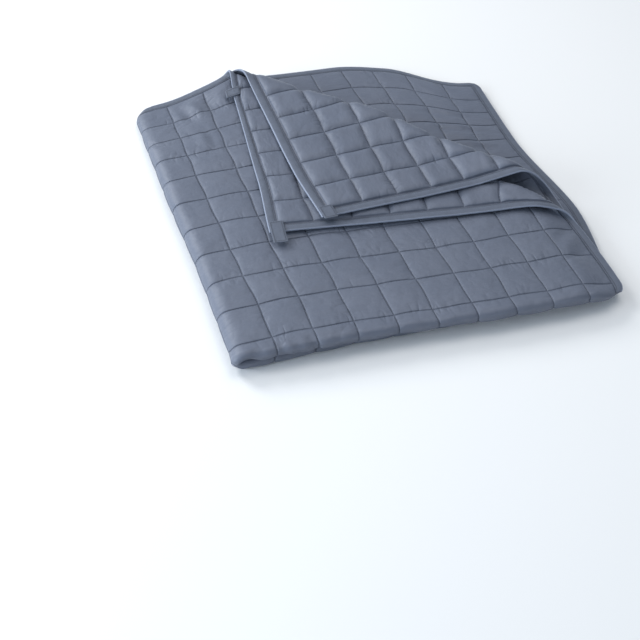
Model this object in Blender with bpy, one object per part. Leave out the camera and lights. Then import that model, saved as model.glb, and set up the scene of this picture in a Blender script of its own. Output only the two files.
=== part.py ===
"""A quilted weighted blanket, folded in four, with the two open corners on top turned back.

The blanket is one long filled cloth. It is drawn flat first, with u across it and v along it,
and every point of it is then carried through the same folds as the real one:

1. in half along v = 0, the fold that lies at the front of the pile;
2. in half along u = 0, the round fold down the left side of the pile;
3. the back right corners of the two upper plies turned back over the pile, one after the other.

The pile stands on z = 0, with +X along its front fold and +Y towards its bound back edges.
"""

import math
from typing import NamedTuple

import bmesh
import bpy
from mathutils import Vector

# Flat size and quilting.
WIDTH = 1.548  # across, from bound edge to bound edge
LENGTH = 1.632  # along, from bound edge to bound edge
SQUARE = 0.0762  # pitch of the quilted squares
STITCHES_ACROSS = 9  # lines of stitches each side of the one down the middle
STITCHES_ALONG = 10  # lines of stitches each side of the middle, which has none
PUFF = 0.0102  # thickness of a square's full middle
SEAM = 0.0052  # thickness along a line of stitches
SHOULDER = 0.017  # from the stitches to a square's full middle

# Bound edge: a tape folded over the quilt's rim, and tape loops sewn to it.
BINDING_WIDTH = 0.018
BINDING_THICKNESS = 0.006
TAPE = 0.0011
RIM = 0.0015  # thickness of the quilt inside its binding
CLEAR = 0.0008  # between the binding and what it touches
TAB_WIDTH = 0.028
TAB_LENGTH = 0.060
TAB_THICKNESS = 0.0022
TAB_SPACING = 0.31  # from the middle of a short side to the loop on it
TAB_INSET = 0.002  # from the edge of the binding to a corner's loop
TAB_SEWN = 0.027  # length of the hanging loop that lies on the quilt
TUCKED_LENGTH, TUCKED_PAST = 0.036, 0.009  # what shows of the tucked loop, and how far past the edge

# The pile.
PLY = 0.012  # height that one ply takes up
WRAP_RADIUS = PLY  # of the left fold, measured between its two plies
FRONT_RADIUS = PLY / 2
INNER_SLIP = math.pi * PLY / 4  # half of what the inner ply gains on the outer one at the left fold
FREE_FROM, FREE_AT = 0.02, 0.26  # from the front fold: where the plies begin to slip, and where they are free
UPPER_OFFSET = 0.002  # how far the front fold lies from v = 0, in the upper plies
LOWER_OFFSET = 0.010  # the same in the lower plies
LOWER_SETBACK, SETBACK_SPAN = 0.020, (0.05, 0.75)  # how far the lower front fold steps back, to the right
EDGE_PRESS = 0.36  # share of the height lost where the bound edges lie on each other
BACK_SLOPE, RIGHT_SLOPE = 0.28, 0.09  # width of the slopes down to those edges
CREST_RELIEF = 0.75  # share of the pressing that the crest at the back is spared
CREST_AT, CREST_WIDTH = 0.19, 0.15  # its place along the back, and half its width
THIN = 0.007  # what is left under a ply that reaches past the one below it
WAVE_PRESS = 0.03  # unevenness of the pressing, as a share of the height
WAVE_ASIDE = 0.003  # unevenness of the edges
WAVE_RATE = Vector((8.5, 9.0))  # radians per metre, across and along
REACH_RIGHT, REACH_BACK = 0.06, 0.03  # lengths over which a ply comes down past the one below it
MIDDLE = Vector((0.37998, 0.40800, 0.0))  # of the footprint, from where the two folds meet

# The pile's plan: how far its cloth is drawn aside, and where along an axis that begins and is whole.
DRAW_LEFT, LEFT_SPAN = 0.065, (0.30, 0.0)  # forwards, at the back's left end
DRAW_RIGHT, RIGHT_SPAN = 0.055, (0.45, 0.70)  # forwards, at its right end
DRAW_CORNER, CORNER_SPAN = 0.07, (0.58, 0.76)  # forwards, more, at its right corner
BACK_SPAN = (0.42, 0.88)  # from front to back, for those three
DRAW_IN, IN_SPAN, BACK_IN_SPAN = 0.025, (0.35, 0.76), (0.25, 0.50)  # inwards, at the right side
BULGE, BULGE_AT, BULGE_SIZE = 0.018, Vector((0.47, 0.60)), 0.14  # of the turned-back folds
BULGE_TOWARDS = Vector((0.66, 0.75))
GATHER, GATHER_AT, GATHER_SIZE = 0.02, 0.19, 0.055  # of the left edges of the turned-back corners
GATHER_SPAN = (0.25, 0.42)

WRAP_STEPS = 6
FRONT_STEPS = 4


class Corner(NamedTuple):
    """A turned-back corner: where its tip lies on the pile, and how its fold is bent."""

    tip: Vector  # place of its corner, in squares from where the two folds meet
    turn: float  # turn of the direction across its fold from +X, degrees
    foot_turn: float  # turn of its front edge from +X, degrees
    side_turn: float  # lean of its left edge from +Y, degrees
    climb: float  # plies that its fold climbs
    lift: tuple  # rise of the cloth before the fold, degrees, at the left end, middle and right end
    drop: tuple  # fall of the cloth behind the fold, degrees, at the same places
    slack: float  # straight length behind the fold, metres
    steps: int  # round its bend


UPPER_CORNER = Corner(Vector((1.667, 3.52)), 42.5, -3.0, 7.0, 1, (10, 2, 5), (14, 5, 10), 0.045, 7)
LOWER_CORNER = Corner(Vector((3.08, 3.64)), 46.5, 6.0, 0.0, 3, (8, 1, 7), (15, 6, 20), 0.055, 8)
SLOW_CURVE = 0.07  # radius of the gentle bends before and behind a turned-back fold
HALF_CREASE = 0.42  # half the length of such a fold
TURNED_FROM = 1.0  # distance across plus distance along, beyond which the upper plies are turned back

FACE_ON = 0.5  # least z of the normal of a face of the flat quilt; its rim has none
SHARP = math.radians(40)

SLATE = (0.175, 0.205, 0.262, 1.0)
SLATE_TAPE = (0.150, 0.172, 0.215, 1.0)


def smooth(value, start, end):
    """Go from 0 at start to 1 at end, level at both."""
    share = min(1.0, max(0.0, (value - start) / (end - start)))
    return share * share * (3 - 2 * share)


def mix(first, second, share):
    return first + (second - first) * share


def either(first, second):
    """Join two slopes so that neither cuts the other short."""
    return 1 - (1 - first) * (1 - second)


# ---------------------------------------------------------------- the two folds in half


def front_offset(u):
    """Distance of the front fold from v = 0, for the plies on this side of the left fold."""
    return mix(UPPER_OFFSET, LOWER_OFFSET, smooth(u, -SQUARE, SQUARE))


def at_front(v):
    """Fold along v: give y, the height over the middle of the two plies, and the outward direction."""
    quarter = FRONT_RADIUS * math.pi / 2
    if abs(v) >= quarter:
        side = math.copysign(1.0, v)
        return abs(v) - quarter, side * FRONT_RADIUS, 0.0, side
    angle = v / FRONT_RADIUS
    return -FRONT_RADIUS * math.cos(angle), FRONT_RADIUS * math.sin(angle), -math.cos(angle), math.sin(angle)


def wrap_slip(v, over):
    """Length of cloth per radian round the left fold, and how far the ply has slipped there."""
    free = smooth(abs(v), FREE_FROM, FREE_AT)
    return WRAP_RADIUS + over * free, INNER_SLIP * free * (1 - over / FRONT_RADIUS)


def setback(x):
    """How far the lower plies step back from the upper ones."""
    return LOWER_SETBACK * smooth(x, *SETBACK_SPAN)


def fold_point(u, v, out):
    """Carry a point of the flat blanket, out from its middle surface, to its place in the pile."""
    v -= front_offset(u)
    y, over, lean_y, lean_z = at_front(v)
    per_radian, slip = wrap_slip(v, over)
    u += slip
    quarter = per_radian * math.pi / 2
    upper = u < 0
    if abs(u) < quarter:
        angle = u / per_radian
        reach = WRAP_RADIUS + over + out * lean_z
        place = Vector((-reach * math.cos(angle), y + out * lean_y, 2 * PLY - reach * math.sin(angle)))
        return settle(place)
    x = abs(u) - quarter
    if not upper:
        return settle(Vector((x, y + out * lean_y + setback(x), 2 * PLY - WRAP_RADIUS - over - out * lean_z)))
    corner = UPPER_CORNER if v > 0 else LOWER_CORNER
    height = 2 * PLY + WRAP_RADIUS + over
    if y > 0:
        return settle(turn_back(corner, x, y, height, out * lean_z))
    return settle(Vector((x, y + out * lean_y, height + out * lean_z)))


# ---------------------------------------------------------------- the turned-back corners


def ply_corner(corner):
    """Place of the ply's back right corner before it is turned back."""
    x = WIDTH / 2 - (WRAP_RADIUS + FRONT_RADIUS) * math.pi / 2
    offset = -UPPER_OFFSET if corner is UPPER_CORNER else UPPER_OFFSET
    return Vector((x, LENGTH / 2 + offset - FRONT_RADIUS * math.pi / 2))


def crease_axes(corner):
    """Origin of the fold, the direction along it to its right end, and the one across it, outwards."""
    angle = math.radians(corner.turn)
    across = Vector((math.cos(angle), math.sin(angle)))
    return (ply_corner(corner) + corner.tip * SQUARE) / 2, Vector((across.y, -across.x)), across


def turned_place(corner, place):
    """Where a point of the ply lies once its corner is turned back and lies flat."""
    foot = math.radians(corner.foot_turn)
    side = math.radians(corner.side_turn)
    from_corner = ply_corner(corner) - place
    along_foot = Vector((math.cos(foot), math.sin(foot))) * from_corner.y
    along_side = Vector((math.sin(side), math.cos(side))) * from_corner.x
    return corner.tip * SQUARE + along_foot + along_side


def at_crease(values, along):
    """Read a value given at the left end, the middle and the right end of a fold."""
    left, middle, right = values
    end = left if along < 0 else right
    return math.radians(mix(middle, end, smooth(abs(along), 0, HALF_CREASE)))


def crease_runs(corner, along):
    """The fold's section as runs of (length, curvature): rise, turn over, fall, level out."""
    lift = at_crease(corner.lift, along)
    drop = at_crease(corner.drop, along)
    fall = corner.slack * math.sin(drop) + SLOW_CURVE * (1 - math.cos(drop))
    rise = SLOW_CURVE * (1 - math.cos(lift))
    radius = (corner.climb * PLY + fall - rise) / (math.cos(lift) + math.cos(drop))
    return (
        (SLOW_CURVE * lift, 1 / SLOW_CURVE),
        (radius * (math.pi + drop - lift), 1 / radius),
        (corner.slack, 0.0),
        (SLOW_CURVE * drop, -1 / SLOW_CURVE),
    )


def travel(runs, distance):
    """Place and heading that far along the runs, which start level at the origin."""
    ahead = up = heading = 0.0
    for length, curvature in runs:
        step = min(distance, length)
        turned = heading + curvature * step
        if curvature:
            ahead += (math.sin(turned) - math.sin(heading)) / curvature
            up += (math.cos(heading) - math.cos(turned)) / curvature
        else:
            ahead += step * math.cos(heading)
            up += step * math.sin(heading)
        heading = turned
        distance -= step
    return ahead, up, heading


def crease_span(corner, along, origin, axis, across):
    """Distance across the ply at which its fold starts, and the length of cloth that it takes."""
    runs = crease_runs(corner, along)
    taken = sum(length for length, _ in runs)
    ahead, _, _ = travel(runs, taken)
    places = (turned_place(corner, origin + axis * along + across * reach) for reach in (0.0, 1.0))
    near, far = ((place - origin).dot(across) for place in places)
    start = (near + (far - near) * taken - ahead) / (1 - (far - near))
    return runs, start, taken


def turn_back(corner, x, y, height, out):
    """Fold a point of an upper ply over its crease, if it lies past it."""
    place = Vector((x, y))
    origin, axis, across = crease_axes(corner)
    along = (place - origin).dot(axis)
    past = (place - origin).dot(across)
    runs, start, taken = crease_span(corner, along, origin, axis, across)
    gone = past - start
    if gone <= 0:
        return Vector((x, y, height + out))
    if gone >= taken:
        flat = turned_place(corner, place)
        return Vector((flat.x, flat.y, height + corner.climb * PLY - out))
    ahead, up, heading = travel(runs, gone)
    landing = turned_place(corner, origin + axis * along + across * (start + taken))
    drift = ((landing - origin).dot(axis) - along) * smooth(gone, 0, taken)
    flat = origin + axis * (along + drift) + across * (start + ahead - out * math.sin(heading))
    return Vector((flat.x, flat.y, height + up + out * math.cos(heading)))


# ---------------------------------------------------------------- how the pile settles


def settle(place):
    """Press the pile down along its bound edges and give it the unevenness of soft cloth."""
    x, y, z = place
    right_end = WIDTH / 2 - (WRAP_RADIUS + FRONT_RADIUS) * math.pi / 2
    back_end = LENGTH / 2 - FRONT_RADIUS * math.pi / 2
    crest = 1 - smooth(abs(x - CREST_AT), 0, CREST_WIDTH)
    at_back = (1 - smooth(back_end - y, 0, BACK_SLOPE)) * (1 - CREST_RELIEF * crest)
    at_right = 1 - smooth(right_end - x, 0, RIGHT_SLOPE)
    wave = math.sin(WAVE_RATE.x * x + 1) * math.sin(WAVE_RATE.y * y)
    pressed = 1 - EDGE_PRESS * either(at_back, at_right) + WAVE_PRESS * wave
    full = 4 * PLY
    z = pressed * min(z, full) + max(z - full, 0)
    past_right = smooth(x, right_end, right_end + REACH_RIGHT)
    past_back = smooth(y - setback(x), back_end - LOWER_OFFSET, back_end + REACH_BACK)
    z -= either(past_right, past_back) * (PLY - THIN) * pressed
    x, y = draw(x, y)
    x += WAVE_ASIDE * math.sin(WAVE_RATE.y * y)
    y += WAVE_ASIDE * math.sin(WAVE_RATE.x * x)
    return Vector((x, y, z)) - MIDDLE


def draw(x, y):
    """Draw the back's corners forwards and the right side in, and let the turned-back folds bulge."""
    sides = DRAW_LEFT * smooth(x, *LEFT_SPAN) + DRAW_RIGHT * smooth(x, *RIGHT_SPAN)
    forwards = (sides + DRAW_CORNER * smooth(x, *CORNER_SPAN)) * smooth(y, *BACK_SPAN)
    inwards = DRAW_IN * smooth(x, *IN_SPAN) * smooth(y, *BACK_IN_SPAN)
    off = (Vector((x, y)) - BULGE_AT).length / BULGE_SIZE
    outwards = BULGE_TOWARDS * BULGE * math.exp(-(off**2))
    beside = (x - GATHER_AT) / GATHER_SIZE
    aside = GATHER * beside * math.exp(-(beside**2)) * smooth(y, *GATHER_SPAN)
    return x - inwards - aside + outwards.x, y - forwards + outwards.y


# ---------------------------------------------------------------- the flat pieces


def fullness(value, lines):
    """How full the filling is at value, from 0 on a line of stitches to 1 a shoulder away from it."""
    nearest = min(abs(value - line) for line in lines)
    return math.sin(min(1.0, nearest / SHOULDER) * math.pi / 2)


def seams(count, shift, half):
    """Lines of stitches on both sides of the middle, and the two where the binding begins."""
    right = [(number + shift) * SQUARE for number in range(count)]
    edge = half - BINDING_WIDTH - CLEAR
    return sorted({-edge, edge, *right, *(-line for line in right)})


SEAMS_ACROSS = seams(STITCHES_ACROSS + 1, 0.0, WIDTH / 2)
SEAMS_ALONG = seams(STITCHES_ALONG, 0.5, LENGTH / 2)


def thickness(u, v):
    """Thickness of the quilt: full in the squares, thin on the stitches, thinner in its binding."""
    if abs(u) >= SEAMS_ACROSS[-1] - CLEAR or abs(v) >= SEAMS_ALONG[-1] - CLEAR:
        return RIM
    return mix(SEAM, PUFF, fullness(u, SEAMS_ACROSS) * fullness(v, SEAMS_ALONG))


def lines_along(u, ends):
    """Stations along v at this u: the stitches, the steps round the front fold, and the ends."""
    quarter = FRONT_RADIUS * math.pi / 2
    fold = [front_offset(u) + quarter * (2 * step / FRONT_STEPS - 1) for step in range(FRONT_STEPS + 1)]
    stitches = [line for line in SEAMS_ALONG if abs(line) < LENGTH / 2 - 2 * BINDING_WIDTH]
    return sorted([*stitches, *fold, *ends, *(-end for end in ends)])


def lines_across(v, ends):
    """Stations along u at this v: the stitches, the steps round the left fold, and the ends."""
    folded = v - front_offset(0.0)
    per_radian, slip = wrap_slip(folded, at_front(folded)[1])
    fold = [per_radian * math.pi * (step / WRAP_STEPS - 0.5) - slip for step in range(WRAP_STEPS + 1)]
    stitches = [line for line in SEAMS_ACROSS if 0 < abs(line) < WIDTH / 2 - 2 * BINDING_WIDTH]
    return sorted([*stitches, *fold, *ends, *(-end for end in ends)])


def grid_points():
    """The quilt's grid of flat points, row by row along v."""
    across_ends = (SEAMS_ACROSS[-1], WIDTH / 2 - TAPE - CLEAR)
    along_ends = (SEAMS_ALONG[-1], LENGTH / 2 - TAPE - CLEAR)
    columns = len(lines_along(0.0, along_ends))
    rows = len(lines_across(0.0, across_ends))
    points = []
    for column in range(columns):
        v_middle = lines_along(0.0, along_ends)[column]
        row = []
        for station in range(rows):
            u = lines_across(v_middle, across_ends)[station]
            row.append((u, lines_along(u, along_ends)[column]))
        points.append(row)
    return points


def quilt_mesh():
    """The flat quilt: two faces of squares and the thin rim between them."""
    mesh = bmesh.new()
    points = grid_points()
    faces = {}
    for side in (1, -1):
        rows = [[mesh.verts.new((u, v, side * thickness(u, v) / 2)) for u, v in row] for row in points]
        for near, far in zip(rows, rows[1:]):
            for left in range(len(near) - 1):
                corners = (near[left], near[left + 1], far[left + 1], far[left])
                mesh.faces.new(corners if side > 0 else corners[::-1])
        faces[side] = rows
    for top, bottom in zip(outline(faces[1]), outline(faces[-1])):
        mesh.faces.new((bottom[0], bottom[1], top[1], top[0]))
    return mesh


def outline(rows):
    """Pairs of neighbours round the rim of a grid, anticlockwise."""
    ring = [*rows[0], *(row[-1] for row in rows[1:-1]), *reversed(rows[-1])]
    ring += [row[0] for row in reversed(rows[1:-1])]
    return list(zip(ring, ring[1:] + ring[:1]))


def fill_squares(mesh):
    """Give each square its own full middle: a flat one where it can be seen, or else a point."""
    mesh.normal_update()
    faces = [face for face in mesh.faces if abs(face.normal.z) > FACE_ON]
    seen = [face for face in faces if is_whole(face) and is_seen(face)]
    others = [face for face in faces if face not in seen and face.calc_area() > SQUARE**2 / 4]
    bmesh.ops.inset_individual(mesh, faces=seen, thickness=SHOULDER)
    raised = {vert for face in seen for vert in face.verts}
    raised.update(bmesh.ops.poke(mesh, faces=others)["verts"])
    for vert in raised:
        vert.co.z = math.copysign(thickness(vert.co.x, vert.co.y) / 2, vert.co.z)


def is_whole(face):
    """Say whether this face of the flat quilt is a whole square, not one cut by a fold."""
    lengths = [edge.calc_length() for edge in face.edges]
    return len(lengths) == 4 and all(abs(length - SQUARE) < SHOULDER / 2 for length in lengths)


def is_seen(face):
    """Say whether this face of the flat quilt shows from above, once it is folded."""
    u, v, side = face.calc_center_median()
    turned = abs(u) + abs(v) > TURNED_FROM
    if v > 0:
        return u < 0 and (side < 0) == turned
    return side > 0 and turned


def binding_mesh():
    """The flat binding: a channel round the rim, mitred at the four corners."""
    mesh = bmesh.new()
    half = BINDING_THICKNESS / 2
    inside = half - TAPE
    section = (
        (0.0, -half),
        (0.0, half),
        (BINDING_WIDTH, half),
        (BINDING_WIDTH, inside),
        (TAPE, inside),
        (TAPE, -inside),
        (BINDING_WIDTH, -inside),
        (BINDING_WIDTH, -half),
    )
    rings = []
    for u, v in rim_stations():
        rings.append([mesh.verts.new((*inset(u, v, depth), out)) for depth, out in section])
    for near, far in zip(rings, rings[1:] + rings[:1]):
        for number in range(len(section)):
            after = (number + 1) % len(section)
            mesh.faces.new((near[number], far[number], far[after], near[after]))
    return mesh


def inset(u, v, depth):
    """Move a point of the outer edge inwards, on both axes at a corner."""
    at_side = abs(u) > WIDTH / 2 - BINDING_WIDTH
    at_end = abs(v) > LENGTH / 2 - BINDING_WIDTH
    return (
        u - math.copysign(depth, u) * at_side,
        v - math.copysign(depth, v) * at_end,
    )


def rim_stations():
    """Points round the outer edge, at the stations of the quilt, anticlockwise from one corner."""
    half_u, half_v = WIDTH / 2, LENGTH / 2
    across_ends = (SEAMS_ACROSS[-1], half_u)
    along_ends = (SEAMS_ALONG[-1], half_v)
    near = [(u, -half_v) for u in lines_across(-half_v, across_ends)]
    right = [(half_u, v) for v in lines_along(half_u, along_ends)]
    far = [(u, half_v) for u in reversed(lines_across(half_v, across_ends))]
    left = [(-half_u, v) for v in reversed(lines_along(-half_u, along_ends))]
    return near[:-1] + right[:-1] + far[:-1] + left[:-1]


def tab_mesh(centre, size, side):
    """A flat loop of tape beside the binding, on the face that side names."""
    mesh = bmesh.new()
    low = BINDING_THICKNESS / 2 + CLEAR
    bmesh.ops.create_cube(mesh, size=1.0)
    middle = Vector((*centre, side * (low + TAB_THICKNESS / 2)))
    for vert in mesh.verts:
        vert.co = middle + vert.co * Vector((*size, TAB_THICKNESS))
    for axis in (0, 1):
        for share in (-0.25, 0.0, 0.25):
            point = Vector((centre[0], centre[1], 0.0))
            point[axis] += share * size[axis]
            cut(mesh, point, Vector([float(axis == number) for number in range(3)]), mesh.faces[:])
    return mesh


# ---------------------------------------------------------------- folding the flat pieces


def cut(mesh, point, normal, faces):
    """Add a line of points where a plane crosses these faces."""
    edges = {edge for face in faces for edge in face.edges}
    verts = {vert for face in faces for vert in face.verts}
    bmesh.ops.bisect_plane(mesh, geom=[*faces, *edges, *verts], dist=1e-6, plane_co=point, plane_no=normal)


def crease_stages(corner, along):
    """Distances across the ply, from the fold's start to its end, at which its bends are stepped."""
    origin, axis, across = crease_axes(corner)
    runs, start, _ = crease_span(corner, along, origin, axis, across)
    rise, turn, slack, level = (length for length, _ in runs)
    steps = [turn * step / corner.steps for step in range(corner.steps + 1)]
    return [start] + [start + rise + step for step in steps] + [
        start + rise + turn + slack / 2,
        start + rise + turn + slack,
        start + rise + turn + slack + level,
    ]


def cut_creases(mesh):
    """Add the lines along which the turned-back corners bend, each straight from the middle outwards."""
    for corner in (UPPER_CORNER, LOWER_CORNER):
        side = 1 if corner is UPPER_CORNER else -1
        origin, axis, across = crease_axes(corner)
        cut_ply(mesh, corner, origin, axis, side, 0)
        middle = crease_stages(corner, 0.0)
        for half in (-1, 1):
            ends = crease_stages(corner, half * HALF_CREASE)
            for near, far in zip(middle, ends):
                line = axis * half * HALF_CREASE + across * (far - near)
                normal = Vector((line.y, -line.x)).normalized()
                cut_ply(mesh, corner, origin + across * near, normal, side, half)


def cut_ply(mesh, corner, place, normal, side, half):
    """Cut one upper ply along a line given in the pile, all of it or one half of its fold."""
    origin, axis, _ = crease_axes(corner)

    def flatten(point):
        off = point - ply_corner(corner)
        return Vector((-WIDTH / 2 - off.x, side * (LENGTH / 2 + off.y), 0.0))

    def in_half(vert):
        if vert.co.x > -SQUARE or side * vert.co.y < SQUARE:
            return False
        reach = flatten(origin) - vert.co
        return half * (reach.x * axis.x - side * reach.y * axis.y) > -1e-5

    faces = [face for face in mesh.faces if all(in_half(vert) for vert in face.verts)]
    cut(mesh, flatten(place), Vector((-normal.x, side * normal.y, 0.0)), faces)


def flatten_under(vert):
    """Half thickness of the lowest ply's under side, which lies flat on the surface."""
    u, v, out = vert.co
    inside = u < SEAMS_ACROSS[-1] - CLEAR and abs(v) < SEAMS_ALONG[-1] - CLEAR
    if not inside or out < 0:
        return out
    quarter = FRONT_RADIUS * math.pi / 2
    wrap = (WRAP_RADIUS + FRONT_RADIUS) * math.pi / 2
    level = smooth(u, wrap / 2, wrap - 0.001) * smooth(v - front_offset(u), quarter / 2, quarter - 0.0002)
    return mix(out, PLY / 2, level)


def fold(mesh, name, material):
    """Fold a flat piece into the pile, which turns its faces in, and make it an object."""
    bmesh.ops.triangulate(mesh, faces=mesh.faces[:])
    bmesh.ops.recalc_face_normals(mesh, faces=mesh.faces[:])
    for vert in mesh.verts:
        out = flatten_under(vert) if name == "quilt" else vert.co.z
        vert.co = fold_point(vert.co.x, vert.co.y, out)
    bmesh.ops.reverse_faces(mesh, faces=mesh.faces[:])
    data = bpy.data.meshes.new(name)
    mesh.to_mesh(data)
    mesh.free()
    data.materials.append(material)
    data.shade_smooth()
    data.set_sharp_from_angle(angle=SHARP)
    piece = bpy.data.objects.new(name, data)
    bpy.context.collection.objects.link(piece)
    return piece


def cloth_material(name, colour, roughness):
    material = bpy.data.materials.new(name)
    material.use_nodes = True
    shader = material.node_tree.nodes["Principled BSDF"]
    shader.inputs["Base Color"].default_value = colour
    shader.inputs["Roughness"].default_value = roughness
    shader.inputs["Metallic"].default_value = 0.0
    return material


def make_quilt():
    """The blanket's filled, stitched cloth."""
    mesh = quilt_mesh()
    cut_creases(mesh)
    fill_squares(mesh)
    return fold(mesh, "quilt", cloth_material("quilt_cloth", SLATE, 0.55))


def make_binding():
    """The tape that covers the rim all round."""
    mesh = binding_mesh()
    cut_creases(mesh)
    return fold(mesh, "edge_binding", cloth_material("binding_tape", SLATE_TAPE, 0.75))


def make_tabs():
    """The tape loops that show: one at each turned-back corner and one on the upper short side."""
    material = cloth_material("loop_tape", SLATE_TAPE, 0.7)
    beside = LENGTH / 2 - TAB_WIDTH / 2 - TAB_INSET
    hanging = (-WIDTH / 2 - TAB_LENGTH / 2 + TAB_SEWN, beside)
    tucked = (-WIDTH / 2 + TUCKED_LENGTH / 2 - TUCKED_PAST, -beside)
    on_side = (-TAB_SPACING, LENGTH / 2)
    fold(tab_mesh(hanging, (TAB_LENGTH, TAB_WIDTH), -1), "corner_loop_hanging", material)
    fold(tab_mesh(tucked, (TUCKED_LENGTH, TAB_WIDTH), 1), "corner_loop_tucked", material)
    fold(tab_mesh(on_side, (TAB_WIDTH, TAB_LENGTH), -1), "side_loop", material)


def main():
    for old in list(bpy.data.objects):
        bpy.data.objects.remove(old)
    make_quilt()
    make_binding()
    make_tabs()


main()
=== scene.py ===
"""Looks of a quilted weighted blanket, folded in four with its two open top corners turned back.

Every cloth piece is drawn flat first, with u across the blanket and v along it, and its points are
then carried through the folds of the pile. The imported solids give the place; these pieces add the
filled squares, the stitches, the puckers, the tape and the weave.
"""

from __future__ import annotations

import logging
import math
from collections.abc import Iterable, Sequence
from dataclasses import dataclass, field
from enum import Enum

import bmesh
import bpy
import numpy as np
from mathutils import Matrix, Vector

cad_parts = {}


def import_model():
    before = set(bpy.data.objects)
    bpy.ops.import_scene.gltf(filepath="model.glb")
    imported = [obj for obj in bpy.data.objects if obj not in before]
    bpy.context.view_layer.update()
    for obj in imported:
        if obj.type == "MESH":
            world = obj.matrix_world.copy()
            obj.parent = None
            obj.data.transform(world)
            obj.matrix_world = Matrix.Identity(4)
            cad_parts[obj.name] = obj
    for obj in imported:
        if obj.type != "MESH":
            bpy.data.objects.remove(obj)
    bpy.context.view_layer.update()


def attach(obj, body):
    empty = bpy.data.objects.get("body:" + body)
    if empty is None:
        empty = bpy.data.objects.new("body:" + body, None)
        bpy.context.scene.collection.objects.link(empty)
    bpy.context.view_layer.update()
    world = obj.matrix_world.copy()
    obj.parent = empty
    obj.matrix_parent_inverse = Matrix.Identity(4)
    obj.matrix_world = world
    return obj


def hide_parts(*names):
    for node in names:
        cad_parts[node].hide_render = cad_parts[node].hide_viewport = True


LOG = logging.getLogger("blanket")
BODY = "root"
FLAT_MAP = "flat"  # UV map that holds a point's place on the flat cloth, in metres
QUARTER_TURN = math.pi / 2
TINY = 1e-6  # metres, well under any size here

Run = tuple[np.ndarray, np.ndarray]  # a length and a curvature, at each place along a fold
Place = tuple[bpy.types.NodeSocket, bpy.types.NodeSocket]  # across the flat cloth and along it
Colour = tuple[float, float, float, float]
Socket = bpy.types.NodeSocket


class Side(Enum):
    """The two faces of the cloth; OUTER is the one that shows on an unopened pile."""

    OUTER = 1
    INNER = -1


def smooth(value: np.ndarray, start: float, end: float) -> np.ndarray:
    """Go from 0 where value is start to 1 where it is end, level at both."""
    share = np.clip((value - start) / (end - start), 0.0, 1.0)
    return share * share * (3 - 2 * share)


def mix(first: np.ndarray, second: np.ndarray, share: np.ndarray) -> np.ndarray:
    """Go from first to second by that share."""
    return first + (second - first) * share


def either(first: np.ndarray, second: np.ndarray) -> np.ndarray:
    """Join two slopes so that neither cuts the other short."""
    return 1 - (1 - first) * (1 - second)


# ---------------------------------------------------------------- sizes


@dataclass(frozen=True)
class FlatSizes:
    """Sizes of the flat blanket, in metres."""

    width: float = 1.548
    length: float = 1.632
    square: float = 0.0762
    stitches_across: int = 9
    stitches_along: int = 10
    puff: float = 0.0112
    seam: float = 0.0034
    rim: float = 0.0014
    binding_width: float = 0.018
    tape: float = 0.0011
    clear: float = 0.0008

    @property
    def quilted_half(self) -> tuple[float, float]:
        """Half width and half length of the quilted part, inside the binding."""
        inset = self.binding_width + self.clear
        return self.width / 2 - inset, self.length / 2 - inset


@dataclass(frozen=True)
class TurnedCorner:
    """A corner turned back over the pile: where its tip lies and how its fold is bent.

    The lift is how far the cloth rises before the fold and the drop how far it falls behind it, in
    degrees, each at the fold's left end, middle and right end.
    """

    tip: tuple[float, float]
    turn: float
    foot_turn: float
    side_turn: float
    climb: float
    lift: tuple[float, float, float]
    drop: tuple[float, float, float]
    slack: float


@dataclass(frozen=True)
class PileSizes:
    """How the blanket is folded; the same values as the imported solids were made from."""

    ply: float = 0.012
    free_from: float = 0.02
    free_at: float = 0.26
    upper_offset: float = 0.002
    lower_offset: float = 0.010
    lower_setback: float = 0.020
    setback_span: tuple[float, float] = (0.05, 0.75)
    edge_press: float = 0.36
    crest_relief: float = 0.75
    crest_at: float = 0.19
    crest_width: float = 0.15
    back_slope: float = 0.28
    right_slope: float = 0.09
    thin: float = 0.007
    wave_press: float = 0.03
    wave_aside: float = 0.003
    wave_rate: tuple[float, float] = (8.5, 9.0)
    wave_start: float = 1.0
    reach_right: float = 0.06
    reach_back: float = 0.03
    draw_left: float = 0.065
    left_span: tuple[float, float] = (0.30, 0.0)
    draw_right: float = 0.055
    right_span: tuple[float, float] = (0.45, 0.70)
    draw_corner: float = 0.070
    corner_span: tuple[float, float] = (0.58, 0.76)
    back_span: tuple[float, float] = (0.42, 0.88)
    draw_in: float = 0.025
    in_span: tuple[float, float] = (0.35, 0.76)
    back_in_span: tuple[float, float] = (0.25, 0.50)
    bulge: float = 0.018
    bulge_at: tuple[float, float] = (0.47, 0.60)
    bulge_size: float = 0.14
    bulge_towards: tuple[float, float] = (0.66, 0.75)
    gather: float = 0.020
    gather_at: float = 0.19
    gather_size: float = 0.055
    gather_span: tuple[float, float] = (0.25, 0.42)
    middle: tuple[float, float] = (0.37998, 0.40800)
    slow_curve: float = 0.07
    half_crease: float = 0.42
    upper_corner: TurnedCorner = TurnedCorner(
        (1.667, 3.52), 42.5, -3.0, 7.0, 1, (10, 2, 5), (14, 5, 10), 0.045
    )
    lower_corner: TurnedCorner = TurnedCorner(
        (3.08, 3.64), 46.5, 6.0, 0.0, 3, (8, 1, 7), (15, 6, 20), 0.055
    )

    @property
    def wrap_radius(self) -> float:
        """Radius of the left fold, measured between its two plies."""
        return self.ply

    @property
    def front_radius(self) -> float:
        """Radius of the front fold."""
        return self.ply / 2

    @property
    def inner_slip(self) -> float:
        """Half of what the inner ply gains on the outer one at the left fold."""
        return math.pi * self.ply / 4


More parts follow.
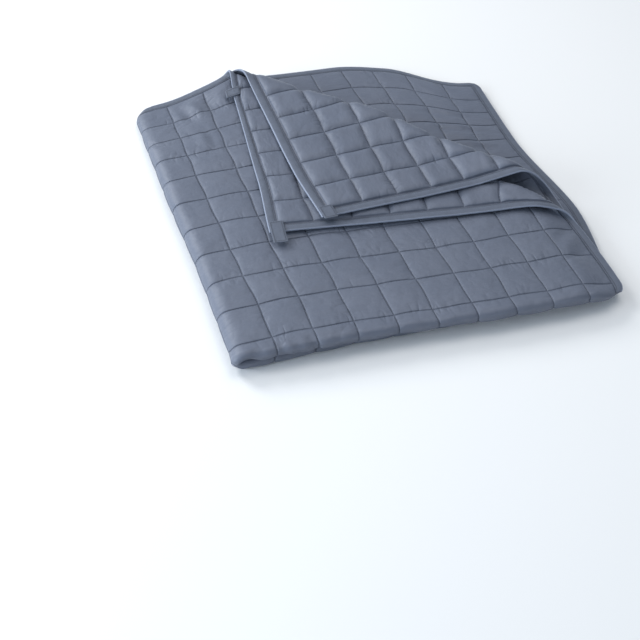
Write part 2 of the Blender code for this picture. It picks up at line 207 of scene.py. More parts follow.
@dataclass(frozen=True)
class Sag:
    """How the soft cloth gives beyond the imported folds: round corners, rolled front, sloping left side."""

    corner_radius: float = 0.032
    left_radius: float = 0.045
    right_radius: float = 0.034
    roll: float = 0.008
    roll_back: float = 0.006
    roll_depth: float = 0.11
    roll_span: tuple[float, float] = (0.02, 0.20)
    rolled_plies: tuple[float, float] = (1.4, 2.6)
    left_press: float = 0.11
    left_slope: float = 0.12
    crest_lift: float = 0.010
    crest_spread: float = 0.060
    crest_depth: float = 0.11
    crest_plies: tuple[float, float] = (1.0, 3.0)


# ---------------------------------------------------------------- the folds


@dataclass
class FoldedPile:
    """Carries points of the flat blanket to their places in the pile."""

    flat: FlatSizes = field(default_factory=FlatSizes)
    pile: PileSizes = field(default_factory=PileSizes)
    sag: Sag = field(default_factory=Sag)

    def place(self, u: np.ndarray, v: np.ndarray, out: np.ndarray) -> np.ndarray:
        """Fold flat points.

        Args:
            u: Distances across the blanket from its middle.
            v: Distances along it.
            out: Distances out from the middle of the cloth, positive on its outer face.

        Returns:
            The points in the pile, one row each.
        """
        pile = self.pile
        u, v = self.rounded(u, v)
        v = v - self.front_offset(u)
        y, over, lean_y, lean_z = self.at_front(v)
        free = smooth(np.abs(v), pile.free_from, pile.free_at)
        per_radian = pile.wrap_radius + over * free
        u = u + pile.inner_slip * free * (1 - over / pile.front_radius)
        x = np.abs(u) - per_radian * QUARTER_TURN
        angle = u / per_radian
        reach = pile.wrap_radius + over + out * lean_z
        y = y + out * lean_y
        wrap = (-reach * np.cos(angle), y, 2 * pile.ply - reach * np.sin(angle))
        lower = (x, y + self.setback(x), 2 * pile.ply - reach)
        upper = (x, y, 2 * pile.ply + reach)
        round_left = x < 0
        placed = np.stack(
            [np.where(round_left, a, np.where(u < 0, b, c)) for a, b, c in zip(wrap, upper, lower)], axis=1
        )
        height = 2 * pile.ply + pile.wrap_radius + over
        for corner, ply_side in ((pile.upper_corner, 1), (pile.lower_corner, -1)):
            mine = ~round_left & (u < 0) & (y > 0) & (v * ply_side > 0)
            placed[mine] = self.turn_back(corner, x[mine], y[mine], height[mine], (out * lean_z)[mine])
        return self.settle(placed)

    def rounded(self, u: np.ndarray, v: np.ndarray) -> tuple[np.ndarray, np.ndarray]:
        """Draw in the two corners that lie at the back of the pile, so that they are round.

        Args:
            u: Distances across the blanket.
            v: Distances along it.

        Returns:
            The same distances with those corners round.
        """
        half_u, half_v = self.flat.width / 2, self.flat.length / 2
        in_u, in_v = self.round_off(half_u - u, half_v - np.abs(v), self.sag.corner_radius)
        return half_u - in_u, np.copysign(half_v - in_v, v)

    def front_offset(self, u: np.ndarray) -> np.ndarray:
        """Distance of the front fold from v = 0, for the plies on this side of the left fold."""
        share = smooth(u, -self.flat.square, self.flat.square)
        return mix(self.pile.upper_offset, self.pile.lower_offset, share)

    def at_front(self, v: np.ndarray) -> tuple[np.ndarray, np.ndarray, np.ndarray, np.ndarray]:
        """Fold along v.

        Args:
            v: Distances from the front fold, along the cloth.

        Returns:
            y, the height over the middle of the two plies, and the outward direction's y and z.
        """
        radius = self.pile.front_radius
        quarter = radius * QUARTER_TURN
        flat = np.abs(v) >= quarter
        angle = np.clip(v / radius, -QUARTER_TURN, QUARTER_TURN)
        y = np.where(flat, np.abs(v) - quarter, -radius * np.cos(angle))
        lean_y = np.where(flat, 0.0, -np.cos(angle))
        return y, radius * np.sin(angle), lean_y, np.sin(angle)

    def setback(self, x: np.ndarray) -> np.ndarray:
        """How far the lower plies step back from the upper ones."""
        return self.pile.lower_setback * smooth(x, *self.pile.setback_span)

    def ply_corner(self, corner: TurnedCorner) -> np.ndarray:
        """Find the ply's back right corner before it is turned back.

        Args:
            corner: The turned corner of that ply.

        Returns:
            Its place to the right and to the back.
        """
        pile = self.pile
        x = self.flat.width / 2 - (pile.wrap_radius + pile.front_radius) * QUARTER_TURN
        offset = -pile.upper_offset if corner is pile.upper_corner else pile.upper_offset
        return np.array((x, self.flat.length / 2 + offset - pile.front_radius * QUARTER_TURN))

    def crease_axes(self, corner: TurnedCorner) -> tuple[np.ndarray, np.ndarray, np.ndarray]:
        """Find the line over which a corner is turned.

        Args:
            corner: The turned corner.

        Returns:
            A point of the line, the direction along it to its right end, and the one across it, outwards.
        """
        angle = math.radians(corner.turn)
        across = np.array((math.cos(angle), math.sin(angle)))
        origin = (self.ply_corner(corner) + np.array(corner.tip) * self.flat.square) / 2
        return origin, np.array((across[1], -across[0])), across

    def turned_place(self, corner: TurnedCorner, place: np.ndarray) -> np.ndarray:
        """Find where points of the ply lie once its corner is turned back and lies flat.

        Args:
            corner: The turned corner.
            place: The points before it is turned, one row each.

        Returns:
            The points afterwards, one row each.
        """
        foot, side = math.radians(corner.foot_turn), math.radians(corner.side_turn)
        from_corner = self.ply_corner(corner) - place
        along_foot = np.outer(from_corner[:, 1], (math.cos(foot), math.sin(foot)))
        along_side = np.outer(from_corner[:, 0], (math.sin(side), math.cos(side)))
        return np.array(corner.tip) * self.flat.square + along_foot + along_side

    def crease_runs(self, corner: TurnedCorner, along: np.ndarray) -> list[Run]:
        """Work out the fold's section: it rises, turns over, falls and levels out.

        Args:
            corner: The turned corner.
            along: Places along the fold from its middle.

        Returns:
            The four runs of the section, each as a length and a curvature at every place.
        """
        slow = self.pile.slow_curve
        lift, drop = (self.at_crease(values, along) for values in (corner.lift, corner.drop))
        fall = corner.slack * np.sin(drop) + slow * (1 - np.cos(drop))
        rise = slow * (1 - np.cos(lift))
        radius = (corner.climb * self.pile.ply + fall - rise) / (np.cos(lift) + np.cos(drop))
        one = np.ones_like(along)
        return [
            (slow * lift, one / slow),
            (radius * (math.pi + drop - lift), 1 / radius),
            (corner.slack * one, 0 * one),
            (slow * drop, -one / slow),
        ]

    def at_crease(self, values: tuple[float, float, float], along: np.ndarray) -> np.ndarray:
        """Read an angle that changes along a fold.

        Args:
            values: The angle in degrees at the fold's left end, middle and right end.
            along: Places along the fold from its middle.

        Returns:
            The angle in radians at each place.
        """
        left, middle, right = values
        share = smooth(np.abs(along), 0, self.pile.half_crease)
        return np.radians(mix(middle, np.where(along < 0, left, right), share))

    def turn_back(
        self, corner: TurnedCorner, x: np.ndarray, y: np.ndarray, height: np.ndarray, out: np.ndarray
    ) -> np.ndarray:
        """Fold the points of an upper ply over its crease, where they lie past it.

        Args:
            corner: The turned corner of this ply.
            x: Places to the right, before the corner is turned.
            y: Places to the back.
            height: Heights of the middle of the cloth.
            out: Distances of the points above it.

        Returns:
            The points, one row each.
        """
        origin, axis, across = self.crease_axes(corner)
        place = np.stack([x, y], axis=1)
        along, past = (place - origin) @ axis, (place - origin) @ across
        runs = self.crease_runs(corner, along)
        taken = sum(length for length, _ in runs)
        ahead, _, _ = travel(runs, taken)
        on_axis = origin + np.outer(along, axis)
        near = (self.turned_place(corner, on_axis) - origin) @ across
        far = (self.turned_place(corner, on_axis + across) - origin) @ across
        start = (near + (far - near) * taken - ahead) / (1 - (far - near))
        gone = past - start
        ahead, up, heading = travel(runs, np.clip(gone, 0, taken))
        landing = self.turned_place(corner, on_axis + np.outer(start + taken, across))
        drift = ((landing - origin) @ axis - along) * smooth(gone / taken, 0, 1)
        bent = on_axis + np.outer(drift, axis) + np.outer(start + ahead - out * np.sin(heading), across)
        turned = self.turned_place(corner, place)
        before, after = (gone <= 0)[:, None], (gone >= taken)[:, None]
        ground = np.where(before, place, np.where(after, turned, bent))
        over = height + corner.climb * self.pile.ply - out
        z = np.where(gone >= taken, over, height + up + out * np.cos(heading))
        z = np.where(gone <= 0, height + out, z)
        return np.column_stack([ground, z])

    def settle(self, points: np.ndarray) -> np.ndarray:
        """Press the pile down along its bound edges and give it the unevenness of soft cloth.

        Args:
            points: The folded points, one row each.

        Returns:
            The points in the part's own frame.
        """
        pile = self.pile
        x, y, z = points.T
        right_end = self.flat.width / 2 - (pile.wrap_radius + pile.front_radius) * QUARTER_TURN
        back_end = self.flat.length / 2 - pile.front_radius * QUARTER_TURN
        crest = 1 - smooth(np.abs(x - pile.crest_at), 0, pile.crest_width)
        at_back = (1 - smooth(back_end - y, 0, pile.back_slope)) * (1 - pile.crest_relief * crest)
        at_right = 1 - smooth(right_end - x, 0, pile.right_slope)
        wave = np.sin(pile.wave_rate[0] * x + pile.wave_start) * np.sin(pile.wave_rate[1] * y)
        at_left = 1 - smooth(x, -pile.wrap_radius, self.sag.left_slope)
        pressed = 1 - pile.edge_press * either(at_back, at_right) - self.sag.left_press * at_left
        pressed = pressed + pile.wave_press * wave
        full = 4 * pile.ply
        z = pressed * np.minimum(z, full) + np.maximum(z - full, 0)
        past_right = smooth(x, right_end, right_end + pile.reach_right)
        past_back = smooth(y - self.setback(x), back_end - pile.lower_offset, back_end + pile.reach_back)
        z = z - either(past_right, past_back) * (pile.ply - pile.thin) * pressed
        z = z + self.raised(x, back_end - y, z)
        y = y - self.rolled(x, y, z)
        left_end, front_end = -pile.wrap_radius - pile.front_radius, -pile.ply
        in_x, in_y = self.round_off(x - left_end, back_end - y, self.sag.left_radius)
        x, y = in_x + left_end, back_end - in_y
        in_x, in_y = self.round_off(right_end - x, y - front_end, self.sag.right_radius)
        x, y = self.drawn(right_end - in_x, in_y + front_end)
        x = x + pile.wave_aside * np.sin(pile.wave_rate[1] * y)
        y = y + pile.wave_aside * np.sin(pile.wave_rate[0] * x)
        return np.column_stack([x - pile.middle[0], y - pile.middle[1], z])

    def raised(self, x: np.ndarray, from_back: np.ndarray, z: np.ndarray) -> np.ndarray:
        """Lift the upper plies at the crest of the back edge.

        Args:
            x: Places to the right.
            from_back: Distances in from the back edge.
            z: Heights.

        Returns:
            How much higher the crest is.
        """
        sag = self.sag
        near = np.exp(-(((x - self.pile.crest_at) / sag.crest_spread) ** 2))
        near = near * (1 - smooth(from_back, 0, sag.crest_depth))
        low, high = (plies * self.pile.ply for plies in sag.crest_plies)
        return sag.crest_lift * near * smooth(z, low, high)

    def rolled(self, x: np.ndarray, y: np.ndarray, z: np.ndarray) -> np.ndarray:
        """Roll the upper plies forwards over the lower ones at the front, which give way.

        Args:
            x: Places to the right.
            y: Places to the back.
            z: Heights.

        Returns:
            How far forwards the cloth moves.
        """
        sag = self.sag
        low, high = (plies * self.pile.ply for plies in sag.rolled_plies)
        given = -sag.roll_back * smooth(x, *sag.roll_span)
        return mix(given, sag.roll, smooth(z, low, high)) * (1 - smooth(y, 0, sag.roll_depth))

    @staticmethod
    def round_off(in_x: np.ndarray, in_y: np.ndarray, radius: float) -> tuple[np.ndarray, np.ndarray]:
        """Draw a square corner in so that it is round.

        Args:
            in_x: Distances in from one side of the corner.
            in_y: Distances in from the other side.
            radius: Radius of the round corner.

        Returns:
            The two distances once the corner is round.
        """
        near_x, near_y = (np.clip(1 - inside / radius, 0, 1) for inside in (in_x, in_y))
        return (
            in_x + radius * near_x * (1 - np.sqrt(1 - near_y**2 / 2)),
            in_y + radius * near_y * (1 - np.sqrt(1 - near_x**2 / 2)),
        )

    def drawn(self, x: np.ndarray, y: np.ndarray) -> tuple[np.ndarray, np.ndarray]:
        """Draw the back of the pile forwards, most of all at its corners, and its right side in.

        Args:
            x: Places to the right.
            y: Places to the back.

        Returns:
            The places once the pile is drawn in.
        """
        pile = self.pile
        forwards = pile.draw_left * smooth(x, *pile.left_span)
        forwards = forwards + pile.draw_right * smooth(x, *pile.right_span)
        forwards = (forwards + pile.draw_corner * smooth(x, *pile.corner_span)) * smooth(y, *pile.back_span)
        inwards = pile.draw_in * smooth(x, *pile.in_span) * smooth(y, *pile.back_in_span)
        off = np.hypot(x - pile.bulge_at[0], y - pile.bulge_at[1]) / pile.bulge_size
        outwards = pile.bulge * np.exp(-(off**2))
        beside = (x - pile.gather_at) / pile.gather_size
        aside = pile.gather * beside * np.exp(-(beside**2)) * smooth(y, *pile.gather_span)
        return (
            x - inwards - aside + pile.bulge_towards[0] * outwards,
            y - forwards + pile.bulge_towards[1] * outwards,
        )


def travel(runs: list[Run], distance: np.ndarray) -> tuple[np.ndarray, np.ndarray, np.ndarray]:
    """Follow runs of a length and a curvature that start level at the origin.

    Args:
        runs: The runs, in order.
        distance: How far to go along them.

    Returns:
        How far ahead and how high that is, and the heading there in radians.
    """
    ahead, up, heading = (np.zeros_like(distance) for _ in range(3))
    for length, curvature in runs:
        step = np.clip(distance, 0, length)
        half = curvature * step / 2
        chord = step * np.sinc(half / math.pi)
        ahead = ahead + chord * np.cos(heading + half)
        up = up + chord * np.sin(heading + half)
        heading = heading + 2 * half
        distance = distance - step
    return ahead, up, heading


# ---------------------------------------------------------------- wrinkles


@dataclass(frozen=True)
class Wrinkle:
    """A soft ridge or valley of the cloth along a line, as (u, v) points in squares.

    Both faces of the cloth follow it. A negative height is a valley.
    """

    start: tuple[float, float]
    end: tuple[float, float]
    height: float
    width: float
    fade: float = 0.6
    ends: tuple[float, float] = (0.001, 0.999)

    def lift(self, u: np.ndarray, v: np.ndarray, square: float) -> np.ndarray:
        """Find how far the cloth stands out along this wrinkle.

        Args:
            u: Distances across the blanket.
            v: Distances along it.
            square: Side of a stitched square.

        Returns:
            The distances out, next to nothing away from the wrinkle.
        """
        a = np.array(self.start) * square
        b = np.array(self.end) * square
        line = b - a
        share = ((u - a[0]) * line[0] + (v - a[1]) * line[1]) / (line @ line)
        near = np.clip(share, 0, 1)
        off = np.hypot(u - a[0] - near * line[0], v - a[1] - near * line[1])
        along = np.sin(np.clip(near, *self.ends) * math.pi) ** self.fade
        return self.height * along * np.exp(-((off / self.width) ** 2))


@dataclass(frozen=True)
class Relief:
    """How the whole cloth, with its binding, stands out from its smooth folds."""

    wrinkles: Sequence[Wrinkle]
    square: float
    height: float = 0.0009
    waves: tuple[tuple[float, float], ...] = ((23.0, 9.0), (-8.0, 29.0), (17.0, -21.0))
    bend: float = 1.3
    bend_rate: tuple[float, float] = (11.0, 7.0)
    phase: float = 2.0

    def lift(self, u: np.ndarray, v: np.ndarray) -> np.ndarray:
        """Find how far the wrinkles and the soft waves carry the cloth out.

        Args:
            u: Distances across the blanket.
            v: Distances along it.

        Returns:
            The distances out.
        """
        out = np.zeros_like(u)
        bend_across, bend_along = self.bend_rate
        for number, (across, along) in enumerate(self.waves):
            bent = self.bend * np.sin(bend_across * u + bend_along * v + number)
            wave = np.sin(across * u + along * v + bent + self.phase * number)
            out += self.height / len(self.waves) * wave
        for wrinkle in self.wrinkles:
            out += wrinkle.lift(u, v, self.square)
        return out


# ---------------------------------------------------------------- meshes


def new_piece(mesh: bmesh.types.BMesh, name: str) -> bpy.types.Object:
    """Turn a mesh in the making into an object of the scene.

    Args:
        mesh: The mesh, which is used up.
        name: Name of the piece.

    Returns:
        The object.
    """
    data = bpy.data.meshes.new(name)
    mesh.to_mesh(data)
    mesh.free()
    piece = bpy.data.objects.new(name, data)
    bpy.context.scene.collection.objects.link(piece)
    return piece


def read_points(piece: bpy.types.Object) -> np.ndarray:
    """Read where a piece's points are.

    Args:
        piece: The piece.

    Returns:
        Its points as three rows, one each for x, y and z.
    """
    values = np.empty(len(piece.data.vertices) * 3)
    piece.data.vertices.foreach_get("co", values)
    return values.reshape(-1, 3).T


def move_points(piece: bpy.types.Object, points: np.ndarray) -> None:
    """Move a flat piece's points into the pile, where its faces have to be turned outwards.

    Args:
        piece: The piece.
        points: Where its points go, one row each.
    """
    piece.data.vertices.foreach_set("co", points.ravel())
    piece.data.flip_normals()
    piece.data.update()
    piece.data.shade_smooth()


def select_nothing() -> None:
    """Deselect everything, so that operators act on the new piece alone."""
    for piece in bpy.context.selected_objects:
        piece.select_set(False)


# ---------------------------------------------------------------- the quilted cloth


@dataclass
class QuiltedCloth:
    """The filled cloth: squares, stitches and wrinkles on both faces, folded into the pile."""

    folds: FoldedPile
    relief: Relief
    coarse: int = 4
    fine: int = 4
    crowd: float = 0.72
    uneven: float = 0.16
    squareness: float = 0.40
    plateau: float = 0.70
    plateau_power: float = 0.55
    turned_span: tuple[float, float] = (12.6, 14.6)
    turned_more: tuple[float, float] = (0.70, 0.25)
    turned_less: float = -0.20
    third_more: float = 0.55
    turned_seen: float = 12.2
    back_hidden: float = 15.5
    sway: float = 0.0010
    sway_inside: tuple[float, float] = (0.02, 0.08)
    sway_rates: tuple[tuple[float, float], tuple[float, float]] = ((61.0, 17.0), (57.0, 19.0))
    sway_bend: float = 3.0
    thins_before: float = 0.004
    level_before: tuple[float, float] = (0.001, 0.0002)
    seed: int = 7

    def build(self) -> bpy.types.Object:
        """Make the cloth as one closed mesh.

        Returns:
            The cloth, folded into the pile.
        """
        mesh = self.flat_shell()
        self.refine(mesh)
        piece = self.to_object(mesh)
        self.fill_and_fold(piece)
        return piece

    def lines(self, half: float, shift: float, count: int) -> list[float]:
        """Place the stitched lines across one direction, with both ends of the cloth.

        Args:
            half: Half the flat size.
            shift: Place of the first line right of the middle, in squares.
            count: Lines on each side.

        Returns:
            The places in metres, in order.
        """
        flat = self.folds.flat
        right = [(number + shift) * flat.square for number in range(count)]
        ends = [half - flat.binding_width - flat.clear, half - flat.tape - flat.clear]
        return sorted({*right, *ends, *(-line for line in right + ends)})

    @property
    def across(self) -> list[float]:
        """Stitched lines and ends across the blanket."""
        return self.lines(self.folds.flat.width / 2, 0.0, self.folds.flat.stitches_across + 1)

    @property
    def along(self) -> list[float]:
        """Stitched lines and ends along the blanket."""
        return self.lines(self.folds.flat.length / 2, 0.5, self.folds.flat.stitches_along)

    def flat_shell(self) -> bmesh.types.BMesh:
        """Join two flat sheets of squares round their rim.

        Returns:
            The shell, with z of 1 on its outer face and -1 on its inner one.
        """
        mesh = bmesh.new()
        sheets = {}
        for side in Side:
            rows = [[mesh.verts.new((u, v, side.value)) for u in self.across] for v in self.along]
            for near, far in zip(rows, rows[1:]):
                for left in range(len(near) - 1):
                    corners = (near[left], near[left + 1], far[left + 1], far[left])
                    mesh.faces.new(corners if side is Side.OUTER else corners[::-1])
            sheets[side] = rows
        pairs = list(zip(*(self.rim(sheets[side]) for side in Side)))
        for (top, bottom), (after_top, after_bottom) in zip(pairs, pairs[1:] + pairs[:1]):
            mesh.faces.new((bottom, after_bottom, after_top, top))
        return mesh

    @staticmethod
    def rim(rows: list[list[bmesh.types.BMVert]]) -> list[bmesh.types.BMVert]:
        """Go round the rim of a sheet.

        Args:
            rows: The sheet's points, row by row.

        Returns:
            The points of its rim, anticlockwise.
        """
        right = [row[-1] for row in rows[1:-1]]
        left = [row[0] for row in reversed(rows[1:-1])]
        return [*rows[0], *right, *reversed(rows[-1]), *left]

    def refine(self, mesh: bmesh.types.BMesh) -> None:
        """Divide the squares, and those that show once more.

        Args:
            mesh: The flat shell.
        """
        level = [edge for edge in mesh.edges if edge.verts[0].co.z == edge.verts[1].co.z]
        bmesh.ops.subdivide_edges(mesh, edges=level, cuts=self.coarse - 1, use_grid_fill=True)
        shown = {edge for face in mesh.faces if self.shows(face) for edge in face.edges}
        level = [edge for edge in shown if abs(edge.verts[0].co.z - edge.verts[1].co.z) < TINY]
        bmesh.ops.subdivide_edges(mesh, edges=level, cuts=self.fine - 1, use_grid_fill=True)

    def shows(self, face: bmesh.types.BMFace) -> bool:
        """Say whether a face of the flat cloth can be seen once it is folded.

        Args:
            face: A face of the flat shell.

        Returns:
            True for a face that shows; those of the rim and the lowest ply don't.
        """
        u, v, side = face.calc_center_median()
        square = self.folds.flat.square
        on_rim = abs(side) < Side.OUTER.value / 2
        if on_rim or u > square and v > square:
            return False
        from_middle = abs(u) + abs(v)
        turned = from_middle > self.turned_seen * square
        if side > 0 and min(abs(u), abs(v)) < square:
            return True
        if u < 0 and v > 0:
            return turned if side < 0 else from_middle <= self.back_hidden * square
        return side > 0 and turned

    def to_object(self, mesh: bmesh.types.BMesh) -> bpy.types.Object:
        """Turn the shell into an object with its flat map, still flat.

        Args:
            mesh: The flat shell, which is used up.

        Returns:
            The object.
        """
        for vert in mesh.verts:
            vert.co.x = self.crowded(vert.co.x, self.across)
            vert.co.y = self.crowded(vert.co.y, self.along)
        layer = mesh.loops.layers.uv.new(FLAT_MAP)
        for face in mesh.faces:
            for loop in face.loops:
                loop[layer].uv = loop.vert.co.xy
        return new_piece(mesh, "blanket_cloth")

    def crowded(self, value: float, lines: Sequence[float]) -> float:
        """Move a place towards the nearer of the two stitched lines beside it.

        Args:
            value: The place.
            lines: The stitched lines in that direction.

        Returns:
            The place, closer to its line.
        """
        number = int(np.clip(np.searchsorted(lines, value, side="right") - 1, 0, len(lines) - 2))
        low, high = lines[number], lines[number + 1]
        share = (value - low) / (high - low)
        return low + (high - low) * (share - self.crowd * math.sin(2 * math.pi * share) / (2 * math.pi))

    def fill_and_fold(self, piece: bpy.types.Object) -> None:
        """Give the flat cloth its thickness and wrinkles, and fold it.

        Args:
            piece: The cloth, still flat.
        """
        u, v, side = read_points(piece)
        out = side * self.half_thickness(u, v, side) + self.relief.lift(u, v)
        out = self.flattened(u, v, side, out)
        move_points(piece, self.folds.place(*self.wandering(u, v), out))

    def wandering(self, u: np.ndarray, v: np.ndarray) -> tuple[np.ndarray, np.ndarray]:
        """Let the stitched lines wander a little, away from the binding.

        Args:
            u: Distances across the blanket.
            v: Distances along it.

        Returns:
            The same distances on cloth whose lines wander.
        """
        inside = smooth(self.folds.flat.width / 2 - np.abs(u), *self.sway_inside)
        inside = inside * smooth(self.folds.flat.length / 2 - np.abs(v), *self.sway_inside)
        (rate_u, slow_u), (rate_v, slow_v) = self.sway_rates
        return (
            u + self.sway * inside * np.sin(rate_u * v + self.sway_bend * np.sin(slow_u * u)),
            v + self.sway * inside * np.sin(rate_v * u + self.sway_bend * np.sin(slow_v * v)),
        )

    def half_thickness(self, u: np.ndarray, v: np.ndarray, side: np.ndarray) -> np.ndarray:
        """Work out how thick the cloth is: full in the squares, thin on the stitches and in the binding.

        Args:
            u: Distances across the blanket.
            v: Distances along it.
            side: 1 on the outer face and -1 on the inner one.

        Returns:
            Half the thickness at each point.
        """
        flat = self.folds.flat
        across, at_u = self.fullness(u, self.across)
        along, at_v = self.fullness(v, self.along)
        fill = np.random.default_rng(self.seed).uniform(-1, 1, (len(self.across), len(self.along), 2))
        far = smooth((np.abs(u) + np.abs(v)) / flat.square, *self.turned_span)
        turned = far * (u < 0)
        on_top = side * v < 0
        swell = turned * np.where(on_top, np.where(v < 0, *self.turned_more), self.turned_less)
        level = (smooth(across, 0, self.plateau) * smooth(along, 0, self.plateau)) ** self.plateau_power
        filled = mix((across * along) ** self.squareness, level, turned * on_top)
        swell = swell + self.third_more * far * (u > 0) * (v < 0) * (side > 0)
        uneven = 1 + self.uneven * fill[at_u, at_v, (side < 0).astype(int)] + swell
        thick = mix(flat.seam, flat.puff, filled * uneven)
        half_u, half_v = flat.quilted_half
        past = np.maximum(np.abs(u) - half_u, np.abs(v) - half_v)
        in_binding = smooth(past, -self.thins_before, 0.0)
        return mix(thick, flat.rim, in_binding) / 2

    def fullness(self, value: np.ndarray, lines: Sequence[float]) -> tuple[np.ndarray, np.ndarray]:
        """Find how far places are from the two stitched lines beside them.

        Args:
            value: The places.
            lines: The stitched lines in that direction.

        Returns:
            0 on a line and up to 1 halfway to the next, and the number of the gap.
        """
        places = np.array(lines)
        number = np.clip(np.searchsorted(places, value, side="right") - 1, 0, len(lines) - 2)
        low, high = places[number], places[number + 1]
        share = np.clip((value - low) / (high - low), 0, 1)
        return 4 * share * (1 - share), number

    def flattened(self, u: np.ndarray, v: np.ndarray, side: np.ndarray, out: np.ndarray) -> np.ndarray:
        """Lay the lowest ply's under side flat on the surface.

        Args:
            u: Distances across the blanket.
            v: Distances along it.
            side: 1 on the outer face and -1 on the inner one.
            out: Distances out from the middle of the cloth.

        Returns:
            The distances out, all alike on that under side.
        """
        pile = self.folds.pile
        half_u, half_v = self.folds.flat.quilted_half
        inside = (u < half_u) & (np.abs(v) < half_v) & (side > 0)
        wrap = (pile.wrap_radius + pile.front_radius) * QUARTER_TURN
        quarter = pile.front_radius * QUARTER_TURN
        wrap_gap, front_gap = self.level_before
        level = smooth(u, wrap / 2, wrap - wrap_gap)
        level = level * smooth(v - self.folds.front_offset(u), quarter / 2, quarter - front_gap)
        return np.where(inside, mix(out, pile.ply / 2, level), out)


# ---------------------------------------------------------------- binding and loops


@dataclass
class EdgeBinding:
    """The tape folded over the blanket's rim all round, mitred at the corners."""

    folds: FoldedPile
    relief: Relief
    step: float = 0.0055
    inner: float = 0.0009
    lip: float = 0.0019
    crown: float = 0.0026
    stitch_depth: float = 0.0155
    stitch_reach: float = 0.0012
    ease: float = 0.0002
    edge_ease: float = 0.0003
    end_ease: float = 0.0001
    inner_gap: float = 0.0006
    crown_share: float = 0.45
    round_steps: int = 6
    pull_height: float = 0.00025
    pull_waves: tuple[float, float] = (0.031, 0.047)
    sharp_over: float = 55.0

    def build(self) -> bpy.types.Object:
        """Make the binding as one closed tube of tape.

        Returns:
            The binding, folded with the cloth.
        """
        mesh = bmesh.new()
        layer = mesh.loops.layers.uv.new(FLAT_MAP)
        section = self.section()
        stations = self.stations()
        flats = [(*self.inset(u, v, depth), out) for u, v in stations for depth, out in section]
        u, v, out = np.array(flats).T
        placed = self.folds.place(u, v, out + self.pull(u, v) + self.relief.lift(u, v))
        verts = [mesh.verts.new(point) for point in placed]
        count = len(section)
        for number in range(len(stations)):
            near = number * count
            far = (number + 1) % len(stations) * count
            for place in range(count):
                after = (place + 1) % count
                corners = (near + place, near + after, far + after, far + place)
                face = mesh.faces.new([verts[corner] for corner in corners])
                for loop, corner in zip(face.loops, corners):
                    loop[layer].uv = (u[corner], v[corner])
        piece = new_piece(mesh, "binding_tape")
        piece.data.shade_smooth()
        piece.data.set_sharp_from_angle(angle=math.radians(self.sharp_over))
        return piece

    def section(self) -> list[tuple[float, float]]:
        """Draw the folded tape across its width.

        Returns:
            Its points all round, each as distances in from the edge and out from the middle.
        """
        width = self.folds.flat.binding_width
        half = self.crown - self.edge_ease
        turn = [math.pi * (step / self.round_steps - 0.5) for step in range(self.round_steps + 1)]
        edge = [(half * (1 - math.cos(angle)), half * math.sin(angle)) for angle in turn]
        top = [
            (width * self.crown_share, self.crown),
            (self.stitch_depth - self.stitch_reach, self.crown - self.ease),
            (self.stitch_depth, self.lip - self.ease),
            (self.stitch_depth + self.stitch_reach, self.lip + self.ease),
            (width, self.lip - self.edge_ease),
            (width + self.end_ease, self.inner + self.ease),
            (self.folds.flat.tape + self.inner_gap, self.inner),
        ]
        bottom = [(depth, -out) for depth, out in reversed(top)]
        return [*edge, *top, *bottom]

    def stations(self) -> list[tuple[float, float]]:
        """Go round the blanket's outer edge.

        Returns:
            Points a step apart, anticlockwise from one corner.
        """
        half_u, half_v = self.folds.flat.width / 2, self.folds.flat.length / 2
        corners = [(-half_u, -half_v), (half_u, -half_v), (half_u, half_v), (-half_u, half_v)]
        points = []
        for (u0, v0), (u1, v1) in zip(corners, corners[1:] + corners[:1]):
            count = round(math.hypot(u1 - u0, v1 - v0) / self.step)
            for step in range(count):
                points.append((u0 + (u1 - u0) * step / count, v0 + (v1 - v0) * step / count))
        return points

    def inset(self, u: float, v: float, depth: float) -> tuple[float, float]:
        """Move a point of the outer edge inwards, on both axes near a corner."""
        half_u, half_v = self.folds.flat.width / 2, self.folds.flat.length / 2
        return math.copysign(min(abs(u), half_u - depth), u), math.copysign(min(abs(v), half_v - depth), v)

    def pull(self, u: np.ndarray, v: np.ndarray) -> np.ndarray:
        """Let the tape ride up and down as its stitches gather it."""
        first, second = (2 * math.pi * way / wave for way, wave in zip((u + v, u - v), self.pull_waves))
        return self.pull_height * np.sin(first) * np.sin(second)


